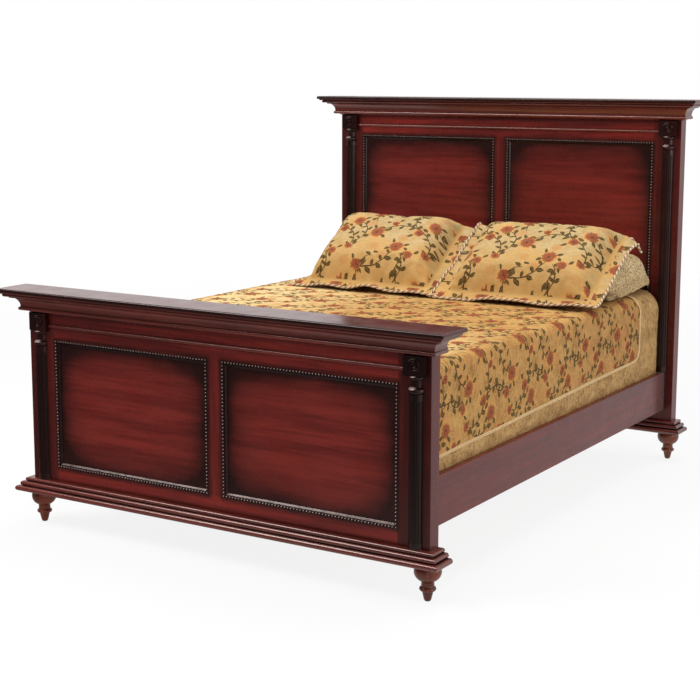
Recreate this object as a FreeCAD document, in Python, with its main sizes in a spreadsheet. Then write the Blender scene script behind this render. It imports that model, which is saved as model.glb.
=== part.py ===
import FreeCAD, Part
import math
import os
import re
import Sketcher

# Panel bed for a 1524 x 2032 mm mattress: a headboard and a footboard of framed
# raised panels under crown-moulded caps, joined by two side rails, and dressed
# with a coverlet, two pillows and two flanged shams.
#
# Frame: X across the bed, -Y towards the foot end, +Y towards the head end, +Z up.
# The origin is on the floor, under the middle of the bed's bounding box.
# Both boards show their moulded face to -Y.

VECTOR = FreeCAD.Vector

# ---------------------------------------------------------------- driving sizes
SIZES = {
    # bedding
    "mattress_width": 1524,
    "mattress_length": 2032,
    "mattress_depth": 250,
    "mattress_corner": 30,
    "box_spring_depth": 216,
    "box_spring_corner": 40,
    "side_gap": 6,
    "end_gap": 14,
    "soft_gap": 0.3,
    "coverlet_thick": 5,
    "coverlet_tuck": 60,
    "coverlet_head_gap": 10,
    "sham_width": 735,
    "sham_length": 600,
    "sham_flange": 45,
    "sham_edge": 4,
    "sham_front_crown": 84,
    "sham_back_crown": 34,
    "sham_waist": 12,
    "sham_lean": 27,
    "sham_foot_gap": 735,
    "sham_pair_gap": 4,
    "sham_pair_shift": 70,
    "pillow_width": 700,
    "pillow_length": 490,
    "pillow_flange": 30,
    "pillow_edge": 4,
    "pillow_crown": 72,
    "pillow_waist": 10,
    "pillow_head_gap": 24,
    "pillow_pair_gap": 4,
    "pillow_pair_shift": 70,
    # side rails and mattress support
    "rail_thick": 25,
    "rail_depth": 164,
    "rail_bottom": 216,
    "rail_setback": 36,
    "rail_round": 3,
    "cleat_width": 24,
    "cleat_depth": 22,
    "cleat_rise": 2,
    "cleat_end_gap": 40,
    "slat_width": 89,
    "slat_thick": 19,
    "slat_end_gap": 2,
    "slat_first": 200,
    "beam_width": 38,
    "beam_depth": 70,
    "beam_overhang": 60,
    "leg_width": 44,
    "leg_spacing": 1100,
    "glide_radius": 16,
    "glide_height": 8,
    "glide_bevel": 2,
    "glide_stem_radius": 4,
    "glide_stem_length": 40,
    "glide_travel": 12,
    "glide_play": 0.05,
    # posts, frames and panels of both boards
    "footboard_height": 872,
    "headboard_height": 1526,
    "post_width": 118,
    "post_depth": 54,
    "foot_height": 122,
    "frame_thick": 30,
    "stile_width": 62,
    "bottom_rail_width": 99,
    "footboard_top_rail": 169,
    "headboard_top_rail": 164,
    "headboard_sill": 640,
    "middle_rail_width": 60,
    "panel_thick": 12,
    "panel_setback": 9,
    "panel_play": 1.5,
    "groove_depth": 10,
    "groove_play": 0.2,
    "tenon_thick": 12,
    "tenon_length": 30,
    "tenon_shoulder": 16,
    "tenon_play": 0.2,
    # panel moulding
    "pearl_width": 8,
    "pearl_proud": 4,
    "pearl_round": 3.6,
    "ogee_width": 10,
    "ogee_drop": 2,
    "ogee_round": 5,
    # frieze strip
    "frieze_depth": 12,
    "frieze_proud": 6,
    "frieze_drop": 40,
    # cap and crown moulding
    "cap_thick": 14,
    "cap_overhang": 86,
    "cap_rear": 15,
    "cap_round": 6,
    "lip_out": 77,
    "lip_depth": 5,
    "bead_out": 68,
    "bead_depth": 11,
    "step_out": 51,
    "step_depth": 5,
    "cove_out": 40,
    "cove_in": 23,
    "cove_depth": 33,
    "cove_radius": 36,
    "toe_bead_out": 29,
    "toe_bead_depth": 13,
    "toe_out": 11,
    "toe_depth": 6,
    # base moulding
    "tier_one_out": 24,
    "tier_two_out": 38,
    "tier_three_out": 52,
    "tier_one_depth": 13,
    "tier_two_depth": 16,
    "tier_three_depth": 19,
    # pilasters
    "block_width": 79,
    "block_depth": 64,
    "block_proud": 18,
    "block_inset": 13,
    "rosette_radius": 21,
    "rosette_ring": 14,
    "rosette_eye": 5,
    "rosette_thick": 4,
    "rosette_groove": 2,
    "rosette_bevel": 1,
    "rosette_drop": 29,
    "column_radius": 26,
    "column_sink": 6,
    "flute_radius": 3,
    "flute_pitch": 20,
    "flute_end_gap": 22,
    "column_rail_gap": 2,
    "capital_depth": 57,
    "capital_neck": 20,
    "capital_slope": 2,
    "collar_radius": 27,
    "collar_depth": 13,
    "swell_radius": 29,
    "swell_depth": 20,
    # turned feet
    "foot_side_inset": 20,
    "foot_front_inset": 24,
    "toe_radius": 9,
    "toe_wide": 12,
    "toe_rise": 5,
    "cone_radius": 18,
    "cone_top": 30,
    "ring_chord": 22,
    "ring_low": 33,
    "ring_high": 47,
    "neck_radius": 21,
    "neck_top": 62,
    "bun_low_radius": 24,
    "bun_low": 66,
    "bun_top_radius": 36,
    "bun_round": 34,
    "bun_edge": 2,
    "ring_slope": 2,
    "stem_radius": 8,
    "stem_length": 40,
    "stem_play": 0.1,
    "stem_end_gap": 2,
    # bed-rail hooks and screws
    "plate_width": 17,
    "plate_height": 130,
    "plate_thick": 3,
    "hook_thick": 4,
    "hook_height": 20,
    "hook_pitch": 56,
    "hook_reach": 9,
    "hook_lip": 7,
    "hook_play": 0.3,
    "slot_height": 30,
    "pocket_play": 3,
    "screw_radius": 2,
    "screw_length": 38,
    "screw_head_radius": 4,
    "screw_head_thick": 1.5,
    "screw_play": 0.1,
    "plate_screw_inset": 9,
}
SLAT_COUNT = 4
LEG_COUNT = 2
CLEAT_SCREW_COUNT = 5
FLUTE_COUNT = 7
BEAD_ROUNDNESS = 1.9       # a bead's depth over its radius, just under a half circle
NEAR = 0.01                # how close to a face an edge lies that belongs to it, mm
SAW_ROOM = 1               # how far a cut runs on past what it cuts, mm

# A cushion's sections stand at these shares of its half width, and swell by a power law.
SECTION_SHARES = (0.0, 0.35, 0.6, 0.8, 0.93, 1.0)
FULLNESS_POWER = 2.4
LEAST_FULLNESS = 0.02

doc = FreeCAD.newDocument("panel_bed")
sheet = doc.addObject("Spreadsheet::Sheet", "Sizes")
for row, (alias, number) in enumerate(SIZES.items(), start=1):
    sheet.set(f"A{row}", alias)
    sheet.set(f"B{row}", str(number))
    sheet.setAlias(f"B{row}", alias)
doc.recompute()

ALIAS = re.compile(r"\b(" + "|".join(SIZES) + r")\b")
PARTS = []


def cells(text):
    """An expression in which each size's name points at its cell."""
    return ALIAS.sub(r"Sizes.\1", str(text))


def bind(thing, path, text):
    thing.setExpression(path, cells(text))


def value(text):
    """What an expression comes to now, in millimetres or degrees."""
    result = sheet.evalExpression(cells(text))
    return float(getattr(result, "Value", result))


def subpart(label, thing):
    """Names a finished sub-part, which is written to its own file."""
    thing.Label = label
    PARTS.append(thing)
    return thing


# ------------------------------------------------------------ places in the bed
RAIL_IN = "(mattress_width / 2 + side_gap)"
RAIL_OUT = f"({RAIL_IN} + rail_thick)"
POST_OUT = f"({RAIL_OUT} + rail_setback)"
POST_IN = f"({POST_OUT} - post_width)"
CLEAR_LENGTH = "(mattress_length + 2 * end_gap)"
TOTAL_LENGTH = f"({CLEAR_LENGTH} + 2 * post_depth + cap_overhang + cap_rear)"
FOOT_FRONT = f"(cap_overhang - {TOTAL_LENGTH} / 2)"
FOOT_BACK = f"({FOOT_FRONT} + post_depth)"
HEAD_FRONT = f"({FOOT_BACK} + {CLEAR_LENGTH})"
MIDDLE = f"({FOOT_BACK} + {CLEAR_LENGTH} / 2)"
CROWN_DEPTH = "(lip_depth + bead_depth + step_depth + cove_depth + toe_bead_depth + toe_depth)"
BASE_DEPTH = "(tier_one_depth + tier_two_depth + tier_three_depth)"
OPENING_LOW = "(foot_height + bottom_rail_width)"
CLEAT_TOP = "(rail_bottom + cleat_rise + cleat_depth)"
SLAT_TOP = f"({CLEAT_TOP} + slat_thick)"
MATTRESS_BOTTOM = f"({SLAT_TOP} + box_spring_depth)"
MATTRESS_TOP = f"({MATTRESS_BOTTOM} + mattress_depth)"
COVERLET_TOP = f"({MATTRESS_TOP} + soft_gap + coverlet_thick)"
RAIL_CENTRE = f"({RAIL_IN} + rail_thick / 2)"
RAIL_MIDDLE = "(rail_bottom + rail_depth / 2)"
PILASTER_CENTRE = f"({POST_OUT} - block_inset - block_width / 2)"


def across(side, low, high):
    """A span along X on the right (+1) side of the bed, or mirrored to the left (-1)."""
    if side > 0:
        return low, high
    return f"-({high})", f"-({low})"


def from_face(face, way, near, far):
    """A span along Y that goes away from a face, towards +Y (+1) or -Y (-1)."""
    if way > 0:
        return f"{face} + {near}", f"{face} + {far}"
    return f"{face} - ({far})", f"{face} - ({near})"


# ------------------------------------------------------------------ solid makers
def box(name, x, y, z):
    """A box between three pairs of low and high places."""
    piece = doc.addObject("Part::Box", name)
    for size, axis, (low, high) in (("Length", "x", x), ("Width", "y", y), ("Height", "z", z)):
        bind(piece, size, f"({high}) - ({low})")
        bind(piece, f"Placement.Base.{axis}", low)
    return piece


TURNS = {
    "+X": FreeCAD.Rotation(VECTOR(0, 1, 0), 90),
    "-X": FreeCAD.Rotation(VECTOR(0, 1, 0), -90),
    "+Y": FreeCAD.Rotation(VECTOR(1, 0, 0), -90),
    "-Y": FreeCAD.Rotation(VECTOR(1, 0, 0), 90),
    "+Z": FreeCAD.Rotation(),
    "-Z": FreeCAD.Rotation(VECTOR(1, 0, 0), 180),
}


def place(piece, point, rotation=None):
    """Puts a piece's own origin at a point, turned by a fixed rotation."""
    if rotation is not None:
        piece.Placement = FreeCAD.Placement(VECTOR(), rotation)
    for axis, text in zip("xyz", point):
        bind(piece, f"Placement.Base.{axis}", text)
    return piece


def rod(name, start, way, radius, length):
    """A cylinder that runs one way from the middle of its starting face."""
    piece = doc.addObject("Part::Cylinder", name)
    bind(piece, "Radius", radius)
    bind(piece, "Height", length)
    return place(piece, start, TURNS[way])


def fuse(name, pieces):
    if len(pieces) == 1:
        return pieces[0]
    joined = doc.addObject("Part::MultiFuse", name)
    joined.Shapes = pieces
    return joined


def cut(name, base, tools):
    """A base with a list of tools taken out of it."""
    result = doc.addObject("Part::Cut", name)
    result.Base = base
    result.Tool = fuse(name + "_tools", tools)
    return result


def group(name, pieces):
    """Separate solids that are kept as one sub-part."""
    result = doc.addObject("Part::Compound", name)
    result.Links = pieces
    return result


def plane(body, role):
    for feature in body.Origin.OriginFeatures:
        if feature.Role == role:
            return feature
    raise ValueError(role)


def attach(body, role, name):
    sketch = body.newObject("Sketcher::SketchObject", name)
    sketch.AttachmentSupport = [(plane(body, role), "")]
    sketch.MapMode = "FlatFace"
    return sketch


def draw(sketch, points):
    """Draws a closed outline whose corners and radii are bound to the sizes.

    Each point is (across, up) or (across, up, radius, hand). With a radius, the side
    that starts at the point is an arc, bulging to the left or the right of its run.
    """
    places = [VECTOR(value(point[0]), value(point[1]), 0) for point in points]
    count = len(points)
    sides = []
    for index, point in enumerate(points):
        start = places[index]
        end = places[(index + 1) % count]
        if len(point) == 2:
            side = sketch.addGeometry(Part.LineSegment(start, end), False)
        else:
            radius = value(point[2])
            half = (end - start).Length / 2
            rise = radius - math.sqrt(radius ** 2 - half ** 2)
            left = VECTOR(start.y - end.y, end.x - start.x, 0).normalize()
            bulge = -rise if point[3] == "right" else rise
            middle = (start + end) / 2 + left * bulge
            side = sketch.addGeometry(Part.Arc(start, middle, end), False)
        first = 1 if (sketch.getPoint(side, 1) - start).Length < 1e-6 else 2
        sides.append((side, first, 3 - first))
    for index, (side, first, last) in enumerate(sides):
        following, following_first, _ = sides[(index + 1) % count]
        sketch.addConstraint(Sketcher.Constraint("Coincident", side, last, following, following_first))
    for index, (side, first, last) in enumerate(sides):
        for kind, axis in (("DistanceX", 0), ("DistanceY", 1)):
            constraint = Sketcher.Constraint(kind, -1, 1, side, first, places[index][axis])
            number = sketch.addConstraint(constraint)
            bind(sketch, f"Constraints[{number}]", points[index][axis])
        if len(points[index]) > 2:
            number = sketch.addConstraint(Sketcher.Constraint("Radius", side, value(points[index][2])))
            bind(sketch, f"Constraints[{number}]", points[index][2])


def padded(name, role, points, length):
    """A body whose outline is drawn on one of its planes and padded by a length."""
    body = doc.addObject("PartDesign::Body", name)
    sketch = attach(body, role, name + "_outline")
    draw(sketch, points)
    pad = body.newObject("PartDesign::Pad", name + "_pad")
    pad.Profile = sketch
    bind(pad, "Length", length)
    sketch.Visibility = False
    doc.recompute()
    return body


def round_edges(body, radius, chosen):
    """Rounds the edges of a body's tip that a test picks by their end points."""
    base = body.Tip
    names = []
    for index, edge in enumerate(base.Shape.Edges, start=1):
        ends = [vertex.Point for vertex in edge.Vertexes]
        if len(ends) == 2 and chosen(*ends):
            names.append(f"Edge{index}")
    fillet = body.newObject("PartDesign::Fillet", body.Name + "_round")
    fillet.Base = (base, names)
    bind(fillet, "Radius", radius)
    doc.recompute()
    return body


def slab(name, x, y, z):
    """A body that fills a box between three pairs of low and high places."""
    long = f"({x[1]}) - ({x[0]})"
    wide = f"({y[1]}) - ({y[0]})"
    outline = [("0", "0"), (long, "0"), (long, wide), ("0", wide)]
    body = padded(name, "XY_Plane", outline, f"({z[1]}) - ({z[0]})")
    return place(body, (x[0], y[0], z[0]))


def turned(name, points):
    """A body turned about the upright axis of its outline, in the XZ plane."""
    body = doc.addObject("PartDesign::Body", name)
    sketch = attach(body, "XZ_Plane", name + "_outline")
    draw(sketch, points)
    lathe = body.newObject("PartDesign::Revolution", name + "_turn")
    lathe.Profile = sketch
    lathe.ReferenceAxis = (sketch, ["V_Axis"])
    lathe.Angle = 360
    sketch.Visibility = False
    doc.recompute()
    return body


def bead(depth):
    """Radius of a bead of a given depth, and how far its nose stands out of its corners."""
    radius = f"({depth} / {BEAD_ROUNDNESS})"
    rise = f"({radius} - sqrt({radius} ^ 2 - ({depth} / 2) ^ 2))"
    return radius, rise


# ---------------------------------------------------------------- moulding runs
def crown_outline():
    """Crown profile: outwards from the frame's face, and up from the crown's foot."""
    bead_radius, bead_rise = bead("bead_depth")
    toe_radius, toe_rise = bead("toe_bead_depth")
    toe_top = "(toe_depth + toe_bead_depth)"
    cove_top = f"({toe_top} + cove_depth)"
    step_top = f"({cove_top} + step_depth)"
    bead_top = f"({step_top} + bead_depth)"
    return [
        ("0", "0"),
        ("toe_out", "toe_depth"),
        (f"toe_bead_out - {toe_rise}", "toe_depth", toe_radius, "right"),
        (f"toe_bead_out - {toe_rise}", toe_top),
        ("cove_in", toe_top, "cove_radius", "left"),
        ("cove_out", cove_top),
        ("step_out", cove_top),
        ("step_out", step_top),
        (f"bead_out - {bead_rise}", step_top, bead_radius, "right"),
        (f"bead_out - {bead_rise}", bead_top),
        ("lip_out", bead_top),
        ("lip_out", CROWN_DEPTH),
        ("0", CROWN_DEPTH),
    ]


def base_outline():
    """Base profile: three rounded tiers, each standing further out than the one above."""
    points = [("0", "0")]
    low = "0"
    for tier in ("tier_three", "tier_two", "tier_one"):
        radius, rise = bead(f"{tier}_depth")
        top = f"({low} + {tier}_depth)"
        points.append((f"{tier}_out - {rise}", low, radius, "right"))
        points.append((f"{tier}_out - {rise}", top))
        low = top
    points.append(("0", low))
    return points


def moulding_run(name, outline, reach, length, mitres):
    """A length of moulding along X that stands out to +Y, mitred at the ends named.

    The straight part, at the frame's face, starts at x = reach where the start is
    mitred and at x = 0 where it is square.
    """
    start = reach if "start" in mitres else "0"
    end = reach if "end" in mitres else "0"
    total = f"({start} + {length} + {end})"
    body = padded(name, "YZ_Plane", outline, total)
    corners = []
    if "start" in mitres:
        corners.append([("0", "0"), (reach, "0"), ("0", reach)])
    if "end" in mitres:
        corners.append([(total, "0"), (total, reach), (f"{total} - {reach}", "0")])
    for number, corner in enumerate(corners):
        sketch = attach(body, "XY_Plane", f"{name}_mitre{number}")
        draw(sketch, corner)
        saw = body.newObject("PartDesign::Pocket", f"{name}_saw{number}")
        saw.Profile = sketch
        saw.Type = "ThroughAll"
        saw.Reversed = True
        before = body.Shape.Volume
        sketch.Visibility = False
        doc.recompute()
        if not body.Shape.Volume < before:
            raise RuntimeError(f"{name}: a mitre cut nothing")
    return body


def moulded_edge(name, outline, reach, front, depth, bottom):
    """A moulding round the front and both sides of a board, in three mitred pieces."""
    turn_front = FreeCAD.Rotation(VECTOR(0, 0, 1), 180)
    turn_left = FreeCAD.Rotation(VECTOR(0, 0, 1), 90)
    turn_right = FreeCAD.Rotation(VECTOR(0, 0, 1), -90)
    middle = moulding_run(f"{name}_front", outline, reach, f"2 * {POST_OUT}", ("start", "end"))
    place(middle, (f"{POST_OUT} + {reach}", front, bottom), turn_front)
    left = moulding_run(f"{name}_left", outline, reach, depth, ("start",))
    place(left, (f"-{POST_OUT}", f"{front} - {reach}", bottom), turn_left)
    right = moulding_run(f"{name}_right", outline, reach, depth, ("end",))
    place(right, (POST_OUT, f"{front} + {depth}", bottom), turn_right)
    return group(f"{name}_pieces", [middle, left, right])


# ------------------------------------------------------------------- the boards
def mortise_height(low, high, play):
    return f"{low} + tenon_shoulder - {play}", f"{high} - tenon_shoulder + {play}"


def tenon_depth(front, play):
    """Where the tenons and their mortises lie along Y, in line with the frame's middle."""
    middle = f"({front} + frame_thick / 2)"
    return f"{middle} - tenon_thick / 2 - {play}", f"{middle} + tenon_thick / 2 + {play}"


def groove_span(front, play):
    """Where a panel, or its groove, lies along Y."""
    return (f"{front} + panel_setback - {play}",
            f"{front} + panel_setback + panel_thick + {play}")


def post(name, side, front, top, rails, opening, joint_face, way):
    """A square post: grooved for the panels, mortised for the rails, bored for its foot,
    and recessed for the hook plate on the face that the side rail meets."""
    timber = box(f"{name}_timber", across(side, POST_IN, POST_OUT),
                 (front, f"{front} + post_depth"), ("foot_height", f"{top} - cap_thick"))
    tools = [box(f"{name}_groove", across(side, POST_IN, f"{POST_IN} + groove_depth"),
                 groove_span(front, "groove_play"),
                 (f"{opening[0]} - groove_depth", f"{opening[1]} + groove_depth"))]
    for number, (low, high) in enumerate(rails):
        tools.append(box(f"{name}_mortise{number}",
                         across(side, POST_IN, f"{POST_IN} + tenon_length + tenon_play"),
                         tenon_depth(front, "tenon_play"),
                         mortise_height(low, high, "tenon_play")))
    tools.append(rod(f"{name}_bore",
                     (f"{side} * ({POST_OUT} - foot_side_inset)", f"{front} + foot_front_inset",
                      "foot_height"),
                     "+Z", "stem_radius + stem_play", "stem_length + stem_end_gap"))
    tools += plate_recess(name, side, joint_face, way)
    tools += hook_pockets(name, side, joint_face, way)
    tools += plate_screw_holes(name, side, joint_face, way)
    return subpart(name, cut(f"{name}_cut", timber, tools))


def cross_rail(name, front, low, high, grooves):
    """A rail between the posts with a tenon at each end, grooved along the edges named."""
    timber = [box(f"{name}_timber", (f"-{POST_IN}", POST_IN), (front, f"{front} + frame_thick"),
                  (low, high))]
    timber.append(box(f"{name}_tenons",
                      (f"-({POST_IN} + tenon_length)", f"{POST_IN} + tenon_length"),
                      tenon_depth(front, "0"), mortise_height(low, high, "0")))
    tools = []
    for edge in grooves:
        span = (low, f"{low} + groove_depth") if edge == "low" else (f"{high} - groove_depth", high)
        tools.append(box(f"{name}_groove_{edge}", (f"-{POST_IN}", POST_IN),
                         groove_span(front, "groove_play"), span))
    return subpart(name, cut(f"{name}_cut", fuse(f"{name}_whole", timber), tools))


def middle_stile(name, front, low, high):
    """The upright between two panels, with a tongue at each end and a groove along each side."""
    half = "stile_width / 2"
    timber = [box(f"{name}_timber", (f"-{half}", half), (front, f"{front} + frame_thick"), (low, high)),
              box(f"{name}_tongue", (f"-{half}", half), groove_span(front, "0"),
                  (f"{low} - groove_depth", f"{high} + groove_depth"))]
    tools = []
    for side in (-1, 1):
        tools.append(box(f"{name}_groove{side + 1}",
                         across(side, f"{half} - groove_depth", half),
                         groove_span(front, "groove_play"),
                         (f"{low} - groove_depth", f"{high} + groove_depth")))
    return subpart(name, cut(f"{name}_cut", fuse(f"{name}_whole", timber), tools))


def panel(name, x, front, low, high):
    """A flat panel that stands on the floor of its lower groove, free to swell sideways and up."""
    tongue = "(groove_depth - panel_play)"
    thing = box(f"{name}_board", (f"{x[0]} - {tongue}", f"{x[1]} + {tongue}"),
                groove_span(front, "0"), (f"{low} - groove_depth", f"{high} + {tongue}"))
    return subpart(name, thing)


def panel_moulding(name, x, front, low, high):
    """A mitred frame laid on a panel inside its opening: a pearl row and a sloping ogee."""
    face = f"({front} + panel_setback)"
    wide = f"({x[1]} - ({x[0]}))"
    tall = f"({high} - {low})"
    body = doc.addObject("PartDesign::Body", f"{name}_ring")
    inner = "(pearl_width + ogee_width)"
    steps = (("ogee", "0", inner, "panel_setback - ogee_drop"),
             ("pearl", "0", "pearl_width", "panel_setback + pearl_proud"))
    for step, outer_gap, inner_gap, thick in steps:
        sketch = attach(body, "XZ_Plane", f"{name}_{step}_outline")
        for gap in (outer_gap, inner_gap):
            draw(sketch, [(gap, gap), (f"{wide} - {gap}", gap),
                          (f"{wide} - {gap}", f"{tall} - {gap}"), (gap, f"{tall} - {gap}")])
        pad = body.newObject("PartDesign::Pad", f"{name}_{step}_pad")
        pad.Profile = sketch
        bind(pad, "Length", thick)
        sketch.Visibility = False
        doc.recompute()
    nose = -value("panel_setback + pearl_proud") + NEAR
    round_edges(body, "pearl_round", lambda a, b: a.y < nose and b.y < nose)
    shelf = -value("panel_setback - ogee_drop")
    edge = value(inner) - NEAR
    right = value(wide) - edge
    top = value(tall) - edge

    def on_inner_edge(a, b):
        level = abs(a.y - shelf) < NEAR and abs(b.y - shelf) < NEAR
        return level and all(edge < p.x < right and edge < p.z < top for p in (a, b))

    round_edges(body, "ogee_round", on_inner_edge)
    place(body, (x[0], face, low))
    return subpart(name, body)


def frieze(name, front, crown_bottom):
    """A rounded strip below the crown, between the two pilaster blocks."""
    radius, rise = bead("frieze_depth")
    span = f"({PILASTER_CENTRE} - block_width / 2)"
    nose = f"frieze_proud - {rise}"
    outline = [("0", "0"), (nose, "0", radius, "right"), (nose, "frieze_depth"), ("0", "frieze_depth")]
    body = padded(f"{name}_strip", "YZ_Plane", outline, f"2 * {span}")
    place(body, (span, front, f"{crown_bottom} - frieze_drop - frieze_depth"),
          FreeCAD.Rotation(VECTOR(0, 0, 1), 180))
    return subpart(name, body)


def capital_outline():
    """Half outline of the turned capital: a collar over a neck over a swelling, up from its foot."""
    collar_radius, collar_rise = bead("collar_depth")
    swell_radius, swell_rise = bead("swell_depth")
    collar_low = "(capital_depth - collar_depth)"
    return [
        ("0", "0"),
        (f"swell_radius - {swell_rise}", "0", swell_radius, "right"),
        (f"swell_radius - {swell_rise}", "swell_depth"),
        ("capital_neck", "swell_depth + capital_slope"),
        ("capital_neck", f"{collar_low} - capital_slope"),
        (f"collar_radius - {collar_rise}", collar_low, collar_radius, "right"),
        (f"collar_radius - {collar_rise}", "capital_depth"),
        ("0", "capital_depth"),
    ]


def rosette_outline():
    """Half outline of the ringed rosette: an eye, a groove, a ring and a rim."""
    return [
        ("0", "0"),
        ("rosette_radius", "0"),
        ("rosette_radius", "rosette_thick - rosette_bevel"),
        ("rosette_radius - rosette_bevel", "rosette_thick"),
        ("rosette_ring + 2 * rosette_bevel", "rosette_thick"),
        ("rosette_ring + rosette_bevel", "rosette_groove"),
        ("rosette_ring - rosette_bevel", "rosette_groove"),
        ("rosette_ring - 2 * rosette_bevel", "rosette_thick"),
        ("rosette_eye + 3 * rosette_bevel", "rosette_thick"),
        ("rosette_eye + 2 * rosette_bevel", "rosette_groove"),
        ("rosette_eye", "rosette_groove"),
        ("rosette_eye - rosette_bevel", "rosette_thick"),
        ("0", "rosette_thick + rosette_bevel"),
    ]


def pilaster(name, side, front, crown_bottom, column_bottom):
    """An applied pilaster: a block with a rosette, a turned half capital and a fluted half column."""
    centre = f"({side} * {PILASTER_CENTRE})"
    axis = f"({front} + column_sink)"
    block_low = f"({crown_bottom} - block_depth)"
    capital_low = f"({block_low} - capital_depth)"
    block = box(f"{name}_block",
                (f"{centre} - block_width / 2", f"{centre} + block_width / 2"),
                (f"{front} - block_proud", front), (block_low, crown_bottom))
    rosette = turned(f"{name}_rosette", rosette_outline())
    place(rosette, (centre, f"{front} - block_proud", f"{crown_bottom} - rosette_drop"), TURNS["-Y"])
    wall_reach = "(2 * swell_radius)"

    def wall(label, low, high):
        return box(f"{name}_{label}_wall", (f"{centre} - {wall_reach}", f"{centre} + {wall_reach}"),
                   (front, f"{front} + {wall_reach}"),
                   (f"{low} - {SAW_ROOM}", f"{high} + {SAW_ROOM}"))

    capital = turned(f"{name}_capital", capital_outline())
    place(capital, (centre, axis, capital_low))
    half_capital = cut(f"{name}_half_capital", capital, [wall("capital", capital_low, block_low)])
    shaft = rod(f"{name}_shaft", (centre, axis, column_bottom), "+Z", "column_radius",
                f"{capital_low} - {column_bottom}")
    tools = [wall("column", column_bottom, capital_low)]
    for number in range(FLUTE_COUNT):
        angle = f"({(FLUTE_COUNT - 1) / 2 - number}) * flute_pitch"
        tools.append(rod(f"{name}_flute{number}",
                         (f"{centre} + column_radius * sin({angle} * 1 deg)",
                          f"{axis} - column_radius * cos({angle} * 1 deg)",
                          f"{column_bottom} + flute_end_gap"),
                         "+Z", "flute_radius",
                         f"{capital_low} - {column_bottom} - 2 * flute_end_gap"))
    column = cut(f"{name}_column", shaft, tools)
    return subpart(name, group(f"{name}_pieces", [block, rosette, half_capital, column]))


def foot_outline():
    """Half outline of a turned foot, up from the floor, with its stem on top."""
    ring_radius, _ = bead("(ring_high - ring_low)")
    return [
        ("0", "0"),
        ("toe_radius", "0"),
        ("toe_wide", "toe_rise"),
        ("cone_radius", "cone_top"),
        ("ring_chord", "ring_low", ring_radius, "right"),
        ("ring_chord", "ring_high"),
        ("neck_radius", "ring_high + ring_slope"),
        ("neck_radius", "neck_top"),
        ("bun_low_radius", "bun_low", "bun_round", "right"),
        ("bun_top_radius", "foot_height - bun_edge"),
        ("bun_top_radius", "foot_height"),
        ("stem_radius", "foot_height"),
        ("stem_radius", "foot_height + stem_length"),
        ("0", "foot_height + stem_length"),
    ]


def turned_foot(name, side, front):
    foot = turned(f"{name}_turning", foot_outline())
    place(foot, (f"{side} * ({POST_OUT} - foot_side_inset)", f"{front} + foot_front_inset", "0"))
    return subpart(name, foot)


def cap_board(name, front, top):
    """The flat cap over the crown, with its front and side edges rounded."""
    reach = f"({POST_OUT} + cap_overhang)"
    body = slab(f"{name}_slab", (f"-{reach}", reach),
                (f"{front} - cap_overhang", f"{front} + post_depth + cap_rear"),
                (f"{top} - cap_thick", top))
    rear = value("cap_overhang + post_depth + cap_rear") - NEAR

    def shows(a, b):
        return abs(a.z - b.z) < NEAR and not (a.y > rear and b.y > rear)

    return subpart(name, round_edges(body, "cap_round", shows))


SIDES = (("left", -1), ("right", 1))


def board(name, front, top, top_rail, sill, column_bottom, joint_face, way):
    """One whole board. The sill is the height of its main panels' lower edge."""
    crown_top = f"({top} - cap_thick)"
    crown_bottom = f"({crown_top} - {CROWN_DEPTH})"
    opening_high = f"({crown_top} - {top_rail})"
    bottom_rail = ("foot_height", OPENING_LOW)
    rails = [bottom_rail, (opening_high, crown_top)]
    if sill != OPENING_LOW:
        rails.append((f"{sill} - middle_rail_width", sill))
    for side_name, side in SIDES:
        post(f"{name}_post_{side_name}", side, front, top, rails, (OPENING_LOW, opening_high),
             joint_face, way)
        pilaster(f"{name}_pilaster_{side_name}", side, front, crown_bottom, column_bottom)
        turned_foot(f"{name}_foot_{side_name}", side, front)
        opening = across(side, "stile_width / 2", POST_IN)
        panel(f"{name}_panel_{side_name}", opening, front, sill, opening_high)
        panel_moulding(f"{name}_panel_moulding_{side_name}", opening, front, sill, opening_high)
    cross_rail(f"{name}_top_rail", front, opening_high, crown_top, ["low"])
    cross_rail(f"{name}_bottom_rail", front, *bottom_rail, ["high"])
    if sill != OPENING_LOW:
        lower_top = f"({sill} - middle_rail_width)"
        cross_rail(f"{name}_middle_rail", front, lower_top, sill, ["low", "high"])
        panel(f"{name}_lower_panel", (f"-{POST_IN}", POST_IN), front, OPENING_LOW, lower_top)
    middle_stile(f"{name}_middle_stile", front, sill, opening_high)
    frieze(f"{name}_frieze_strip", front, crown_bottom)
    subpart(f"{name}_crown_moulding",
            moulded_edge(f"{name}_crown", crown_outline(), "lip_out", front, "post_depth",
                         crown_bottom))
    subpart(f"{name}_base_moulding",
            moulded_edge(f"{name}_base", base_outline(), "tier_three_out", front, "post_depth",
                         "foot_height"))
    cap_board(f"{name}_cap", front, top)


# ------------------------------------------------------- rail hooks and screws
SCREWS = []


def screw(name, start, way):
    """A screw let in flush, from the middle of its flat head's outer face, one way into the wood."""
    head = rod(f"{name}_head", start, way, "screw_head_radius", "screw_head_thick")
    shank = rod(f"{name}_shank", start, way, "screw_radius", "screw_length")
    SCREWS.append(fuse(name, [head, shank]))


def screw_hole(name, start, way):
    """Room for one screw, head and shank, with a little play all round."""
    head = rod(f"{name}_head_room", start, way, "screw_head_radius + screw_play", "screw_head_thick")
    shank = rod(f"{name}_shank_room", start, way, "screw_radius + screw_play",
                "screw_length + screw_play")
    return [head, shank]


def plate_screws(side, joint_face):
    """The places of one joint's two plate screws, above and below its hooks."""
    offset = "(plate_height / 2 - plate_screw_inset)"
    return [(f"{side} * {RAIL_CENTRE}", joint_face, f"{RAIL_MIDDLE} {sign} {offset}") for sign in "+-"]


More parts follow.
